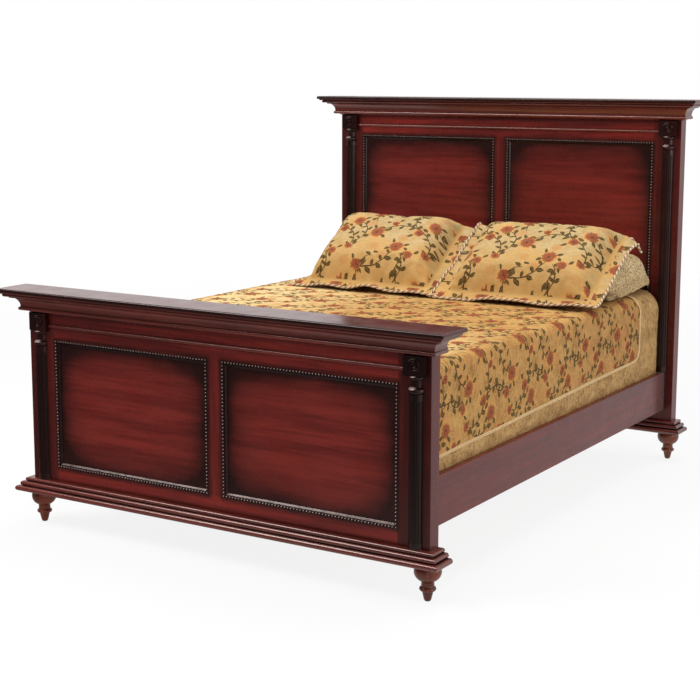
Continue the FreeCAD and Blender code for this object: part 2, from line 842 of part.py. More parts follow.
def plate_screw_holes(name, side, joint_face, way):
    towards = "+Y" if way > 0 else "-Y"
    holes = []
    for number, point in enumerate(plate_screws(side, joint_face)):
        holes += screw_hole(f"{name}_screw{number}", point, towards)
    return holes


def plate_recess(name, side, joint_face, way):
    half = "plate_width / 2"
    return [box(f"{name}_recess", across(side, f"{RAIL_CENTRE} - {half}", f"{RAIL_CENTRE} + {half}"),
                from_face(joint_face, way, "0", "plate_thick"),
                (f"{RAIL_MIDDLE} - plate_height / 2", f"{RAIL_MIDDLE} + plate_height / 2"))]


def hook_bottoms():
    return [f"({RAIL_MIDDLE} {sign} hook_pitch / 2 - hook_height / 2)" for sign in "+-"]


def hook_pockets(name, side, joint_face, way):
    """Mortises in the post behind the plate, where the hooks drop in."""
    half = "(hook_thick / 2 + hook_play)"
    pockets = []
    for number, low in enumerate(hook_bottoms()):
        pockets.append(box(f"{name}_pocket{number}",
                           across(side, f"{RAIL_CENTRE} - {half}", f"{RAIL_CENTRE} + {half}"),
                           from_face(joint_face, way, "plate_thick",
                                     "plate_thick + hook_reach + pocket_play"),
                           (f"{low} - hook_lip - pocket_play", f"{low} + slot_height")))
    return pockets


def joint_hardware(name, side, joint_face, way):
    """One corner's hook plate in the post, and the hooks in the end of the rail."""
    half = "plate_width / 2"
    x = across(side, f"{RAIL_CENTRE} - {half}", f"{RAIL_CENTRE} + {half}")
    z = (f"{RAIL_MIDDLE} - plate_height / 2", f"{RAIL_MIDDLE} + plate_height / 2")
    plate = box(f"{name}_plate", x, from_face(joint_face, way, "0", "plate_thick"), z)
    slots = plate_screw_holes(f"{name}_plate", side, joint_face, way)
    slot_half = "(hook_thick / 2 + hook_play)"
    hook_half = "(hook_thick / 2)"
    fingers = [box(f"{name}_rail_plate", x, from_face(joint_face, -way, "0", "plate_thick"), z)]
    for number, low in enumerate(hook_bottoms()):
        slots.append(box(f"{name}_slot{number}",
                         across(side, f"{RAIL_CENTRE} - {slot_half}", f"{RAIL_CENTRE} + {slot_half}"),
                         from_face(joint_face, way, "0", "plate_thick"),
                         (low, f"{low} + slot_height")))
        hook_x = across(side, f"{RAIL_CENTRE} - {hook_half}", f"{RAIL_CENTRE} + {hook_half}")
        fingers.append(box(f"{name}_finger{number}", hook_x,
                           from_face(joint_face, way, "0", "plate_thick + hook_reach"),
                           (low, f"{low} + hook_height")))
        fingers.append(box(f"{name}_lip{number}", hook_x,
                           from_face(joint_face, way, "plate_thick + hook_play",
                                     "plate_thick + hook_reach"),
                           (f"{low} - hook_lip", low)))
    hooks = cut(f"{name}_hooks", fuse(f"{name}_hook_whole", fingers),
                plate_screw_holes(f"{name}_rail_plate", side, joint_face, -way))
    for number, point in enumerate(plate_screws(side, joint_face)):
        screw(f"{name}_post_screw{number}", point, "+Y" if way > 0 else "-Y")
        screw(f"{name}_rail_screw{number}", point, "-Y" if way > 0 else "+Y")
    return cut(f"{name}_plate_cut", plate, slots), hooks


# --------------------------------------------------- side rails and the support
def spread(count, number, low, high):
    """The place of one of several evenly spaced things between two places."""
    return f"({low} + ({high} - ({low})) * {number} / {count - 1})"


def cleat_screw_places(side):
    """Screws through the cleat into the rail, at mid height of the cleat."""
    first = f"({FOOT_BACK} + cleat_end_gap + slat_width)"
    last = f"({HEAD_FRONT} - cleat_end_gap - slat_width)"
    x = f"{side} * ({RAIL_IN} - cleat_width)"
    z = f"{CLEAT_TOP} - cleat_depth / 2"
    return [(x, spread(CLEAT_SCREW_COUNT, n, first, last), z) for n in range(CLEAT_SCREW_COUNT)]


def slat_places():
    first = f"({FOOT_BACK} + slat_first)"
    last = f"({HEAD_FRONT} - slat_first)"
    return [spread(SLAT_COUNT, number, first, last) for number in range(SLAT_COUNT)]


def slat_screw_place(side, middle):
    return f"{side} * ({RAIL_IN} - cleat_width / 2)", middle, SLAT_TOP


def side_rail(name, side):
    body = slab(f"{name}_timber", across(side, RAIL_IN, RAIL_OUT), (FOOT_BACK, HEAD_FRONT),
                ("rail_bottom", "rail_bottom + rail_depth"))
    high = value("rail_depth") - NEAR
    long = value(CLEAR_LENGTH) - NEAR

    def top_edge(a, b):
        return a.z > high and b.z > high and abs(a.y - b.y) > long

    round_edges(body, "rail_round", top_edge)
    tools = []
    for end, face, way in (("foot", FOOT_BACK, 1), ("head", HEAD_FRONT, -1)):
        tools += plate_recess(f"{name}_{end}", side, face, way)
        tools += plate_screw_holes(f"{name}_{end}", side, face, way)
    outwards = "+X" if side > 0 else "-X"
    for number, point in enumerate(cleat_screw_places(side)):
        tools += screw_hole(f"{name}_cleat_screw{number}", point, outwards)
    return subpart(name, cut(f"{name}_cut", body, tools))


def cleat(name, side):
    timber = box(f"{name}_timber", across(side, f"{RAIL_IN} - cleat_width", RAIL_IN),
                 (f"{FOOT_BACK} + cleat_end_gap", f"{HEAD_FRONT} - cleat_end_gap"),
                 (f"{CLEAT_TOP} - cleat_depth", CLEAT_TOP))
    tools = []
    outwards = "+X" if side > 0 else "-X"
    for number, point in enumerate(cleat_screw_places(side)):
        tools += screw_hole(f"{name}_screw{number}", point, outwards)
        screw(f"{name}_fixing{number}", point, outwards)
    for number, middle in enumerate(slat_places()):
        tools += screw_hole(f"{name}_slat_screw{number}", slat_screw_place(side, middle), "-Z")
    return subpart(name, cut(f"{name}_cut", timber, tools))


def slat(name, middle):
    reach = f"({RAIL_IN} - slat_end_gap)"
    board_piece = box(f"{name}_board", (f"-{reach}", reach),
                      (f"{middle} - slat_width / 2", f"{middle} + slat_width / 2"),
                      (f"{SLAT_TOP} - slat_thick", SLAT_TOP))
    tools = []
    for side_name, side in SIDES:
        point = slat_screw_place(side, middle)
        tools += screw_hole(f"{name}_{side_name}", point, "-Z")
        screw(f"{name}_fixing_{side_name}", point, "-Z")
    return subpart(name, cut(f"{name}_cut", board_piece, tools))


def centre_support():
    """A beam under the slats on two legs, each with a screw glide at the floor."""
    places = slat_places()
    beam_low = f"({CLEAT_TOP} - beam_depth)"
    beam = box("centre_beam_timber", ("-beam_width / 2", "beam_width / 2"),
               (f"{places[0]} - beam_overhang", f"{places[-1]} + beam_overhang"),
               (beam_low, CLEAT_TOP))
    subpart("centre_beam", beam)
    leg_low = "(glide_height + glide_travel)"
    for number in range(LEG_COUNT):
        middle = spread(LEG_COUNT, number, f"({MIDDLE} - leg_spacing / 2)",
                        f"({MIDDLE} + leg_spacing / 2)")
        name = ("foot_end", "head_end")[number]
        timber = box(f"centre_leg_{name}_timber", ("-leg_width / 2", "leg_width / 2"),
                     (f"{middle} - leg_width / 2", f"{middle} + leg_width / 2"), (leg_low, beam_low))
        bore = rod(f"centre_leg_{name}_bore", ("0", middle, leg_low), "+Z",
                   "glide_stem_radius + glide_play", "glide_stem_length + glide_travel")
        subpart(f"centre_leg_{name}", cut(f"centre_leg_{name}_cut", timber, [bore]))
        glide = turned(f"glide_{name}_turning", [
            ("0", "0"),
            ("glide_radius - glide_bevel", "0"),
            ("glide_radius", "glide_bevel"),
            ("glide_radius", "glide_height"),
            ("glide_stem_radius", "glide_height"),
            ("glide_stem_radius", "glide_height + glide_stem_length"),
            ("0", "glide_height + glide_stem_length"),
        ])
        place(glide, ("0", middle, "0"))
        subpart(f"levelling_glide_{name}", glide)


# ---------------------------------------------------------------------- bedding
def mattress_span(grow):
    wide = f"(mattress_width / 2 + {grow})"
    long = f"(mattress_length / 2 + {grow})"
    return (f"-{wide}", wide), (f"{MIDDLE} - {long}", f"{MIDDLE} + {long}")


def round_corners(body, radius, with_top):
    """Rounds a block's upright corners, and its top edges too if asked."""
    high = max(vertex.Point.z for vertex in body.Shape.Vertexes) - NEAR
    low = min(vertex.Point.z for vertex in body.Shape.Vertexes) + NEAR

    def chosen(a, b):
        upright = abs(a.z - b.z) > high - low
        return upright or (with_top and a.z > high and b.z > high)

    return round_edges(body, radius, chosen)


def box_spring():
    x, y = mattress_span("0")
    body = slab("box_spring_block", x, y, (SLAT_TOP, MATTRESS_BOTTOM))
    subpart("box_spring", round_corners(body, "box_spring_corner", False))


def mattress():
    x, y = mattress_span("0")
    body = slab("mattress_block", x, y, (MATTRESS_BOTTOM, MATTRESS_TOP))
    subpart("mattress", round_corners(body, "mattress_corner", True))


def coverlet():
    """A cloth over the top, the sides and the foot end, tucked down inside the rails."""
    tuck = "(rail_bottom + rail_depth - coverlet_tuck)"
    below = f"({tuck} - {SAW_ROOM})"
    x, y = mattress_span("soft_gap + coverlet_thick")
    outer = slab("coverlet_outside", x, y, (tuck, COVERLET_TOP))
    round_corners(outer, "mattress_corner + coverlet_thick", True)
    head = f"({MIDDLE} + mattress_length / 2 - coverlet_head_gap)"
    end = box("coverlet_head_cut", (f"-{RAIL_OUT}", RAIL_OUT), (head, f"{y[1]} + {SAW_ROOM}"),
              (below, f"{COVERLET_TOP} + {SAW_ROOM}"))
    x, y = mattress_span("soft_gap")
    inner = slab("coverlet_inside", x, y, (below, f"{MATTRESS_TOP} + soft_gap"))
    round_corners(inner, "mattress_corner", True)
    subpart("coverlet", cut("coverlet_shell", outer, [inner, end]))


def cushion_shape(width, length, flange, edge, front_crown, back_crown, waist):
    """A flanged cushion, lofted along X through sections of lines and arcs.

    It lies from y = 0 to its length, with its crowns to +Z and -Z. Between its
    corners its long edges draw in by the waist.
    """
    body_half = width / 2 - flange
    stations = [(share * body_half, max(math.sqrt(1 - share ** FULLNESS_POWER), LEAST_FULLNESS))
                for share in SECTION_SHARES]
    stations.append((width / 2, LEAST_FULLNESS))
    stations = [(-x, fullness) for x, fullness in reversed(stations[1:])] + stations
    sections = []
    for x, fullness in stations:
        draw_in = waist * max(0.0, 1 - (x / body_half) ** 2)
        outer = length / 2 - draw_in
        inner = outer - flange
        half = edge / 2
        middle = length / 2
        low = [VECTOR(x, y, -half) for y in (middle - inner, middle + inner)]
        high = [VECTOR(x, y, half) for y in (middle - inner, middle + inner)]
        tips = [VECTOR(x, middle - outer, -half), VECTOR(x, middle - outer, half),
                VECTOR(x, middle + outer, half), VECTOR(x, middle + outer, -half)]
        crown = VECTOR(x, middle, half + front_crown * fullness)
        belly = VECTOR(x, middle, -half - back_crown * fullness)
        edges = [
            Part.LineSegment(tips[0], tips[1]).toShape(),
            Part.LineSegment(tips[1], high[0]).toShape(),
            Part.Arc(high[0], crown, high[1]).toShape(),
            Part.LineSegment(high[1], tips[2]).toShape(),
            Part.LineSegment(tips[2], tips[3]).toShape(),
            Part.LineSegment(tips[3], low[1]).toShape(),
            Part.Arc(low[1], belly, low[0]).toShape(),
            Part.LineSegment(low[0], tips[0]).toShape(),
        ]
        sections.append(Part.Wire(edges))
    return Part.makeLoft(sections, True, True)


def cushion(name, sizes, point, lean):
    thing = doc.addObject("Part::Feature", name + "_form")
    thing.Shape = cushion_shape(*[value(size) for size in sizes])
    thing.Placement = FreeCAD.Placement(VECTOR(*[value(text) for text in point]),
                                        FreeCAD.Rotation(VECTOR(1, 0, 0), value(lean)))
    return subpart(name, thing)


def pillows_and_shams():
    """Two pillows flat at the head end, and two shams that lean back on them."""
    for side_name, side in SIDES:
        x = f"pillow_pair_shift + {side} * (pillow_pair_gap + pillow_width) / 2"
        cushion(f"pillow_{side_name}",
                ("pillow_width", "pillow_length", "pillow_flange", "pillow_edge", "pillow_crown",
                 "pillow_crown", "pillow_waist"),
                (x, f"{HEAD_FRONT} - pillow_head_gap - pillow_length",
                 f"{COVERLET_TOP} + soft_gap + pillow_edge / 2 + pillow_crown"), "0")
        x = f"sham_pair_shift + {side} * (sham_pair_gap + sham_width) / 2"
        cushion(f"sham_{side_name}",
                ("sham_width", "sham_length", "sham_flange", "sham_edge", "sham_front_crown",
                 "sham_back_crown", "sham_waist"),
                (x, f"{HEAD_FRONT} - sham_foot_gap", f"{COVERLET_TOP} + soft_gap + sham_edge / 2"),
                "sham_lean")


# ------------------------------------------------------------------ the whole bed
# The footboard's columns stand on its base moulding, the headboard's end above the side rails.
board("footboard", FOOT_FRONT, "footboard_height", "footboard_top_rail", OPENING_LOW,
      f"(foot_height + {BASE_DEPTH})", FOOT_BACK, -1)
board("headboard", HEAD_FRONT, "headboard_height", "headboard_top_rail", "headboard_sill",
      "(rail_bottom + rail_depth + column_rail_gap)", HEAD_FRONT, 1)

PLATES = []
HOOKS = []
for side_name, side in SIDES:
    side_rail(f"side_rail_{side_name}", side)
    cleat(f"rail_cleat_{side_name}", side)
    for end, face, way in (("foot", FOOT_BACK, -1), ("head", HEAD_FRONT, 1)):
        plate, hooks = joint_hardware(f"joint_{end}_{side_name}", side, face, way)
        PLATES.append(plate)
        HOOKS.append(hooks)
for number, middle in enumerate(slat_places(), start=1):
    slat(f"slat_{number}", middle)
subpart("post_hook_plates", group("post_plates", PLATES))
subpart("rail_hooks", group("hooks", HOOKS))
subpart("frame_screws", group("screws", SCREWS))
centre_support()
box_spring()
mattress()
coverlet()
pillows_and_shams()

doc.recompute()

# ------------------------------------------------------------ checks and export
for thing in doc.Objects:
    for state in thing.State:
        if state in ("Invalid", "Error"):
            raise RuntimeError(f"{thing.Label}: {state}")
for thing in PARTS:
    if thing.Shape.isNull() or not thing.Shape.isValid():
        raise RuntimeError(f"{thing.Label}: the shape isn't valid")

os.makedirs("parts", exist_ok=True)
for thing in PARTS:
    thing.Shape.exportStep(f"parts/{thing.Label}.step")
    box_now = thing.Shape.BoundBox
    print(f"{thing.Label:36s} solids {len(thing.Shape.Solids):3d}  "
          f"x {box_now.XMin:8.1f} {box_now.XMax:8.1f}  y {box_now.YMin:8.1f} {box_now.YMax:8.1f}  "
          f"z {box_now.ZMin:7.1f} {box_now.ZMax:7.1f}")
print(len(PARTS), "sub-parts")
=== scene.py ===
import math
import random
from dataclasses import dataclass

import bpy
import numpy as np
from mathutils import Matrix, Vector


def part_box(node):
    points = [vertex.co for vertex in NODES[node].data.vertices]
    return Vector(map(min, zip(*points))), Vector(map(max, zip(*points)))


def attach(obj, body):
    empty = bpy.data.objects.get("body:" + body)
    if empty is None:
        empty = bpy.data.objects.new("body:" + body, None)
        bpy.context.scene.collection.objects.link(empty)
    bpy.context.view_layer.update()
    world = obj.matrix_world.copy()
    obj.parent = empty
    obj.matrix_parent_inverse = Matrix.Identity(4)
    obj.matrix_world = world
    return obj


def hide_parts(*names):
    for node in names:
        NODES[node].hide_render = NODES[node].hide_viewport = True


# A dark cherry panel bed, dressed with a coverlet, two pillows and two flanged shams.
# Everything is in metres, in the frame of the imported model: +X to the right as seen
# from the foot end, +Y towards the head end, +Z up. Colours are linear.

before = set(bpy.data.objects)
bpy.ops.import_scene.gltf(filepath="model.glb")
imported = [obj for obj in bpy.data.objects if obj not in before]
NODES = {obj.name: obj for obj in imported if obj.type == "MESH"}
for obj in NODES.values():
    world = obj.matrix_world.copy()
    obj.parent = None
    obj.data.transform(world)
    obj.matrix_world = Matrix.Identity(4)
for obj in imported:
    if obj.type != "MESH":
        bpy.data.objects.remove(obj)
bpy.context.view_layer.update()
ROOT = "bed_frame"
SIDES = ("left", "right")

# ------------------------------------------------------------------- the camera
CAMERA_AZIMUTH = math.radians(32.376)
CAMERA_PITCH = math.radians(9.1)
CAMERA_DISTANCE = 5.9706
CAMERA_ACROSS = -0.1436
CAMERA_UP = 0.7005
FOCAL_PIXELS = 1527.4
CENTRE_PIXEL = (339.04, 315.0)
FRAME_PIXELS = 700
SENSOR = 36.0


def make_camera():
    """A camera at the photograph's viewing angle."""
    data = bpy.data.cameras.new("camera")
    camera = bpy.data.objects.new("camera", data)
    bpy.context.scene.collection.objects.link(camera)
    sin_a, cos_a = math.sin(CAMERA_AZIMUTH), math.cos(CAMERA_AZIMUTH)
    sin_p, cos_p = math.sin(CAMERA_PITCH), math.cos(CAMERA_PITCH)
    back = Vector((sin_a * cos_p, -cos_a * cos_p, sin_p))
    right = Vector((cos_a, sin_a, 0))
    camera.location = back * CAMERA_DISTANCE + right * CAMERA_ACROSS + Vector((0, 0, CAMERA_UP))
    camera.rotation_euler = (-back).to_track_quat("-Z", "Y").to_euler()
    data.sensor_width = SENSOR
    data.lens = FOCAL_PIXELS * SENSOR / FRAME_PIXELS
    data.shift_x = (FRAME_PIXELS / 2 - CENTRE_PIXEL[0]) / FRAME_PIXELS
    data.shift_y = (CENTRE_PIXEL[1] - FRAME_PIXELS / 2) / FRAME_PIXELS
    data.clip_start = 0.1
    data.clip_end = 100
    bpy.context.scene.camera = camera


# ------------------------------------------------------------- shading by arithmetic
def feed(tree, slot, item):
    """Puts a wire or a constant into a node's input."""
    if isinstance(item, Wire):
        tree.links.new(item.socket, slot)
    elif isinstance(item, tuple) and len(item) == 3 and slot.type == "RGBA":
        slot.default_value = (*item, 1.0)
    else:
        slot.default_value = item


def set_levels(node, levels):
    """Sets a node's inputs by their titles."""
    for title, level in levels.items():
        node.inputs[title].default_value = level


def add_node(tree, kind, items=(), output=0, **options):
    """A node with its options set and its first inputs fed, as a wire from one output."""
    node = tree.nodes.new(kind)
    for option, value in options.items():
        setattr(node, option, value)
    for slot, item in zip(node.inputs, items):
        feed(tree, slot, item)
    return Wire(tree, node.outputs[output])


class Wire:
    """A value in a material's node tree. Arithmetic on it adds Math nodes."""

    def __init__(self, tree, socket):
        self.tree = tree
        self.socket = socket

    def math(self, operation, *others):
        return add_node(self.tree, "ShaderNodeMath", (self, *others), operation=operation)

    def __add__(self, other):
        return self.math("ADD", other)

    def __sub__(self, other):
        return self.math("SUBTRACT", other)

    def __mul__(self, other):
        return self.math("MULTIPLY", other)

    def __truediv__(self, other):
        return self.math("DIVIDE", other)

    def __abs__(self):
        return self.math("ABSOLUTE")

    def most(self, other):
        return self.math("MAXIMUM", other)

    def least(self, other):
        return self.math("MINIMUM", other)

    def ramp(self, low, high, to_low=0.0, to_high=1.0):
        """Eases from one level to another as the value goes from low to high."""
        items = (self, low, high, to_low, to_high)
        return add_node(self.tree, "ShaderNodeMapRange", items, interpolation_type="SMOOTHSTEP")

    def vector(self, operation, *others):
        output = "Value" if operation in ("DOT_PRODUCT", "LENGTH") else "Vector"
        return add_node(self.tree, "ShaderNodeVectorMath", (self, *others), output, operation=operation)

    def split(self):
        node = self.tree.nodes.new("ShaderNodeSeparateXYZ")
        feed(self.tree, node.inputs[0], self)
        return [Wire(self.tree, output) for output in node.outputs]

    def noise(self, scale, detail=2.0, roughness=0.5, distortion=0.0, stretch=(1, 1, 1), output="Fac"):
        """Noise from 0 to 1 at this vector, with so many features a metre."""
        node = self.tree.nodes.new("ShaderNodeTexNoise")
        feed(self.tree, node.inputs["Vector"], self.vector("MULTIPLY", stretch))
        set_levels(node, {"Scale": scale, "Detail": detail, "Roughness": roughness,
                          "Distortion": distortion})
        return Wire(self.tree, node.outputs[output])

    def blend(self, low, high):
        """A colour from low at 0 to high at 1."""
        node = self.tree.nodes.new("ShaderNodeMix")
        node.data_type = "RGBA"
        factor, first_colour, second_colour = 0, 6, 7
        for number, item in ((factor, self), (first_colour, low), (second_colour, high)):
            feed(self.tree, node.inputs[number], item)
        return Wire(self.tree, node.outputs[2])


def join(x, y, z=0.0):
    return add_node(x.tree, "ShaderNodeCombineXYZ", (x, y, z))


def widest(wires):
    """The largest of several wires."""
    result = wires[0]
    for wire in wires[1:]:
        result = result.most(wire)
    return result


def new_material(name, levels):
    """A material with a Principled shader, its node tree and that shader's node."""
    material = bpy.data.materials.new(name)
    material.use_nodes = True
    shader = material.node_tree.nodes["Principled BSDF"]
    set_levels(shader, levels)
    return material, material.node_tree, shader


def place_of(tree):
    """Where a point of the bed is, in metres."""
    return add_node(tree, "ShaderNodeTexCoord", output="Object")


def cloth_place(tree):
    """Where a point lies on the flat cloth, in metres."""
    return add_node(tree, "ShaderNodeUVMap", output="UV", uv_map="cloth")


def paint(tree, shader, colour):
    feed(tree, shader.inputs["Base Color"], colour)


def relief(tree, shader, height, depth, strength):
    """Raises the surface by a wire times a depth in metres."""
    node = tree.nodes.new("ShaderNodeBump")
    set_levels(node, {"Strength": strength, "Distance": depth})
    feed(tree, node.inputs["Height"], height)
    tree.links.new(node.outputs["Normal"], shader.inputs["Normal"])


def near(value, low, high, width):
    """1 between two places, fading to 0 over a width on both sides."""
    centre = (low + high) / 2
    half = (high - low) / 2
    return (abs(value - centre) - half).ramp(0.0, width, 1.0, 0.0)


# ----------------------------------------------------------------- wood materials
GRAIN = 0.055               # how much slower the wood's figure changes along the grain
ALONG = {"x": (GRAIN, 1, 1), "y": (1, GRAIN, 1), "z": (1, 1, GRAIN)}
CHERRY_LIGHT = (0.152, 0.0130, 0.0095)
CHERRY_DEEP = (0.070, 0.0060, 0.0052)
CHERRY_DARK = (0.0095, 0.0030, 0.0026)
RAIL_LIGHT = (0.215, 0.0165, 0.0115)
# Painted sheen colour for the side rails' ends near the headboard.
RAIL_PAINTED_SHEEN = (0.115, 0.070, 0.066)
MOULDING_LIGHT = (0.190, 0.031, 0.021)
MOULDING_DEEP = (0.085, 0.014, 0.010)
PANEL_LIGHT = (0.195, 0.0185, 0.0130)
PANEL_DEEP = (0.095, 0.0078, 0.0060)
FOOT_LIGHT = (0.230, 0.0420, 0.0130)
FOOT_DEEP = (0.090, 0.0150, 0.0060)
RAW_LIGHT = (0.560, 0.400, 0.230)
RAW_DEEP = (0.400, 0.260, 0.130)
# Painted highlight: the light colour laid on small slopes that face up and forwards, and the way those
# slopes face.
PAINTED_HIGHLIGHT = (0.420, 0.310, 0.270)
HIGHLIGHT_FACING = (-0.30, -0.64, 0.71)
LACQUER_TINT = (1.0, 0.84, 0.78, 1.0)


def highlight_slopes(tree, low, high):
    """1 on the small slopes that face up and forwards, where a highlight is painted."""
    facing = add_node(tree, "ShaderNodeNewGeometry", output="Normal")
    return facing.vector("DOT_PRODUCT", HIGHLIGHT_FACING).ramp(low, high)


def crevice(tree, reach):
    """1 deep in the corners of a profile, where shade is painted, 0 on its open faces."""
    node = tree.nodes.new("ShaderNodeAmbientOcclusion")
    node.only_local = True
    node.samples = 12
    node.inputs["Distance"].default_value = reach
    return Wire(tree, node.outputs["AO"]).ramp(0.35, 0.92, 1.0, 0.0)


def wood(name, along, light, deep, darker_where=None, roughness=0.27, gloss=0.42, highlight_patches=None, corner_shade=0):
    """Lacquered wood with its grain along one axis, darkened where its darkening function gives 1: the
    finish's own darker tone on some pieces, painted shade on the boards' frames and panels.

    The highlight patches give a painted highlight on the slopes that face up; the corner shade gives
    painted shade in the corners of a profile.
    """
    material, tree, shader = new_material(name, {"Specular IOR Level": gloss,
                                                 "Specular Tint": LACQUER_TINT})
    place = place_of(tree)
    mottle = place.noise(9, 3, 0.55, 0.6, ALONG[along])
    streak = place.noise(70, 5, 0.62, 0.3, ALONG[along])
    pores = place.noise(420, 2, 0.6, 0.0, ALONG[along])
    colour = (mottle * 0.55 + streak * 0.45).ramp(0.36, 0.66).blend(deep, light)
    colour = pores.ramp(0.56, 0.72, 0.0, 0.45).blend(colour, deep)
    # Darker where the finish is darker, and painted shade on the boards' frames and panels.
    if darker_where:
        colour = darker_where(place).blend(colour, CHERRY_DARK)
    # Painted shade in the corners of a profile.
    if corner_shade:
        colour = (crevice(tree, 0.022) * corner_shade).blend(colour, CHERRY_DARK)
    # Painted highlight on the slopes that face up and forwards, in patches.
    if highlight_patches:
        colour = (highlight_slopes(tree, 0.84, 0.97) * highlight_patches(place)).blend(colour, PAINTED_HIGHLIGHT)
    paint(tree, shader, colour)
    feed(tree, shader.inputs["Roughness"],
         place.noise(14, 2, 0.5).ramp(0.2, 0.8, roughness - 0.03, roughness + 0.05))
    relief(tree, shader, pores * 0.6 + streak * 0.4, 0.0003, 0.18)
    return material


def raw_wood(name, along):
    """Planed, unfinished hardwood."""
    return wood(name, along, RAW_LIGHT, RAW_DEEP, roughness=0.62, gloss=0.3)


def dark_wood(name, along, highlight_scale, least_highlight, most_highlight, corner_shade):
    """Near-black burnished wood, with a painted highlight in patches on the slopes that face up and
    forwards.
    """

    def highlight_patches(place):
        return place.noise(highlight_scale, 2, 0.6).ramp(0.35, 0.65, least_highlight, most_highlight)

    return wood(name, along, CHERRY_DEEP, CHERRY_DARK, uneven_burnish(0.82), 0.22, 0.42, highlight_patches, corner_shade)


def uneven_burnish(depth):
    """Uneven darkening of a carved or moulded piece."""

    def darker_where(place):
        return place.noise(5, 3, 0.6).ramp(0.25, 0.75, depth - 0.12, depth + 0.06)

    return darker_where


def cap_burnish(edge):
    """Near black along the front edge of a cap, uneven over the rest."""

    def darker_where(place):
        rest = place.noise(5, 3, 0.6).ramp(0.25, 0.75, 0.22, 0.40)
        return place.split()[1].ramp(edge - 0.008, edge, 0.93, 0.0).most(rest)

    return darker_where


class Board:
    """The places of the headboard or the footboard where shade is painted, seen from its front."""

    def __init__(self, name):
        self.name = name
        low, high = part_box(f"{name}_panel_moulding_right")
        self.middle = ((low.x + high.x) / 2, (low.z + high.z) / 2)
        self.half = ((high.x - low.x) / 2, (high.z - low.z) / 2)
        self.panel_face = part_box(f"{name}_panel_right")[0].y
        self.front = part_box(f"{name}_top_rail")[0].y
        self.cap_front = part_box(f"{name}_cap")[0].y
        self.pilaster = [corner.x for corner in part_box(f"{name}_pilaster_right")]
        self.frieze = [corner.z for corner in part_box(f"{name}_frieze_strip")]
        self.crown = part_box(f"{name}_crown_moulding")[0].z
        self.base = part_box(f"{name}_base_moulding")[1].z

    def frame_burnish(self, place):
        """Painted shade beside the pilasters, under the crown, at the frieze and round the openings."""
        x, y, z = place.split()
        across = abs(x)
        beside = near(across, *self.pilaster, 0.034) * 0.62
        under = z.ramp(self.crown - 0.020, self.crown - 0.002, 0.0, 0.5)
        strip = near(z, *self.frieze, 0.007) * 0.35
        gap_x = abs(across - self.middle[0]) - self.half[0]
        gap_z = abs(z - self.middle[1]) - self.half[1]
        gap = gap_x.most(0).math("POWER", 2) + gap_z.most(0).math("POWER", 2)
        round_opening = gap.math("SQRT").ramp(0.002, 0.022, 0.85, 0.0)
        foot = near(z, self.base - 0.01, self.base, 0.022) * 0.7
        dark = widest([beside, under, strip, round_opening, foot])
        uneven = place.noise(12, 2, 0.5).ramp(0.2, 0.8, 0.75, 1.0)
        facing = y.ramp(self.front + 0.004, self.front + 0.012, 1.0, 0.0)
        return dark * uneven * facing

    def panel_burnish(self, place):
        """Painted shade towards the edges of both recessed panels, clear in their middles."""
        x, _, z = place.split()
        uneven = place.noise(7, 4, 0.6, 0.5, (0.6, 1, 1)).ramp(0.2, 0.8, -0.015, 0.015)
        edge_x = (abs(abs(x) - self.middle[0]) + uneven - self.half[0]).least(0)
        edge_z = (abs(z - self.middle[1]) + uneven - self.half[1]).least(0)
        near_edge = (edge_x / 0.050).math("EXPONENT") + (edge_z / 0.044).math("EXPONENT")
        far_edge = (edge_x / 0.150).math("EXPONENT") + (edge_z / 0.120).math("EXPONENT")
        return (near_edge * 0.80 + far_edge * 0.22).least(1.0).ramp(0.05, 0.95, 0.0, 0.94)


def pearl_wood():
    """Black-brown pearls with a painted highlight, in patches, on the slopes that face up and forwards."""
    material, tree, shader = new_material("pearl_wood", {"Roughness": 0.2})
    patches = place_of(tree).noise(120, 2, 0.6).ramp(0.3, 0.7, 0.55, 1.0)
    paint(tree, shader, (highlight_slopes(tree, 0.62, 0.92) * patches).blend(CHERRY_DARK, PAINTED_HIGHLIGHT))
    return material


def zinc_finish():
    """Zinc plate: a grey metal with a faint blotch and fine scratches."""
    material, tree, shader = new_material("zinc_plate", {"Metallic": 1.0})
    place = place_of(tree)
    blotch = place.noise(90, 3, 0.6).ramp(0.3, 0.7)
    scratch = place.noise(600, 2, 0.6, 0.0, (1, 0.1, 1))
    paint(tree, shader, blotch.blend((0.42, 0.43, 0.43), (0.60, 0.60, 0.58)))
    feed(tree, shader.inputs["Roughness"], scratch.ramp(0.3, 0.7, 0.32, 0.48))
    relief(tree, shader, scratch, 0.0001, 0.4)
    return material


def plastic_finish():
    """Black moulded plastic with a fine texture."""
    material, tree, shader = new_material("glide_black_plastic", {"Roughness": 0.5})
    grain = place_of(tree).noise(1200, 2, 0.6)
    paint(tree, shader, grain.ramp(0.3, 0.7).blend((0.012, 0.012, 0.013), (0.028, 0.028, 0.030)))
    relief(tree, shader, grain, 0.0002, 0.5)
    return material


def rail_wood():
    """The side rails' wood, with a painted grey sheen near the headboard, where the rail's gloss reflects
    the red post.
    """
    material = wood("rail_wood", "y", CHERRY_LIGHT, CHERRY_DEEP)
    tree = material.node_tree
    base = tree.nodes["Principled BSDF"].inputs["Base Color"]
    colour = Wire(tree, base.links[0].from_socket)
    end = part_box("side_rail_right")[1].y
    # Painted sheen: grey laid over the rail's last few centimetres before the headboard.
    grey = place_of(tree).split()[1].ramp(end - 0.11, end - 0.03, 0.0, 0.9)
    feed(tree, base, grey.blend(colour, RAIL_PAINTED_SHEEN))
    return material


def dress(parts, material, prefix=""):
    """Gives CAD nodes a material."""
    for part in parts.split():
        materials = NODES[prefix + part].data.materials
        materials.clear()
        materials.append(material)


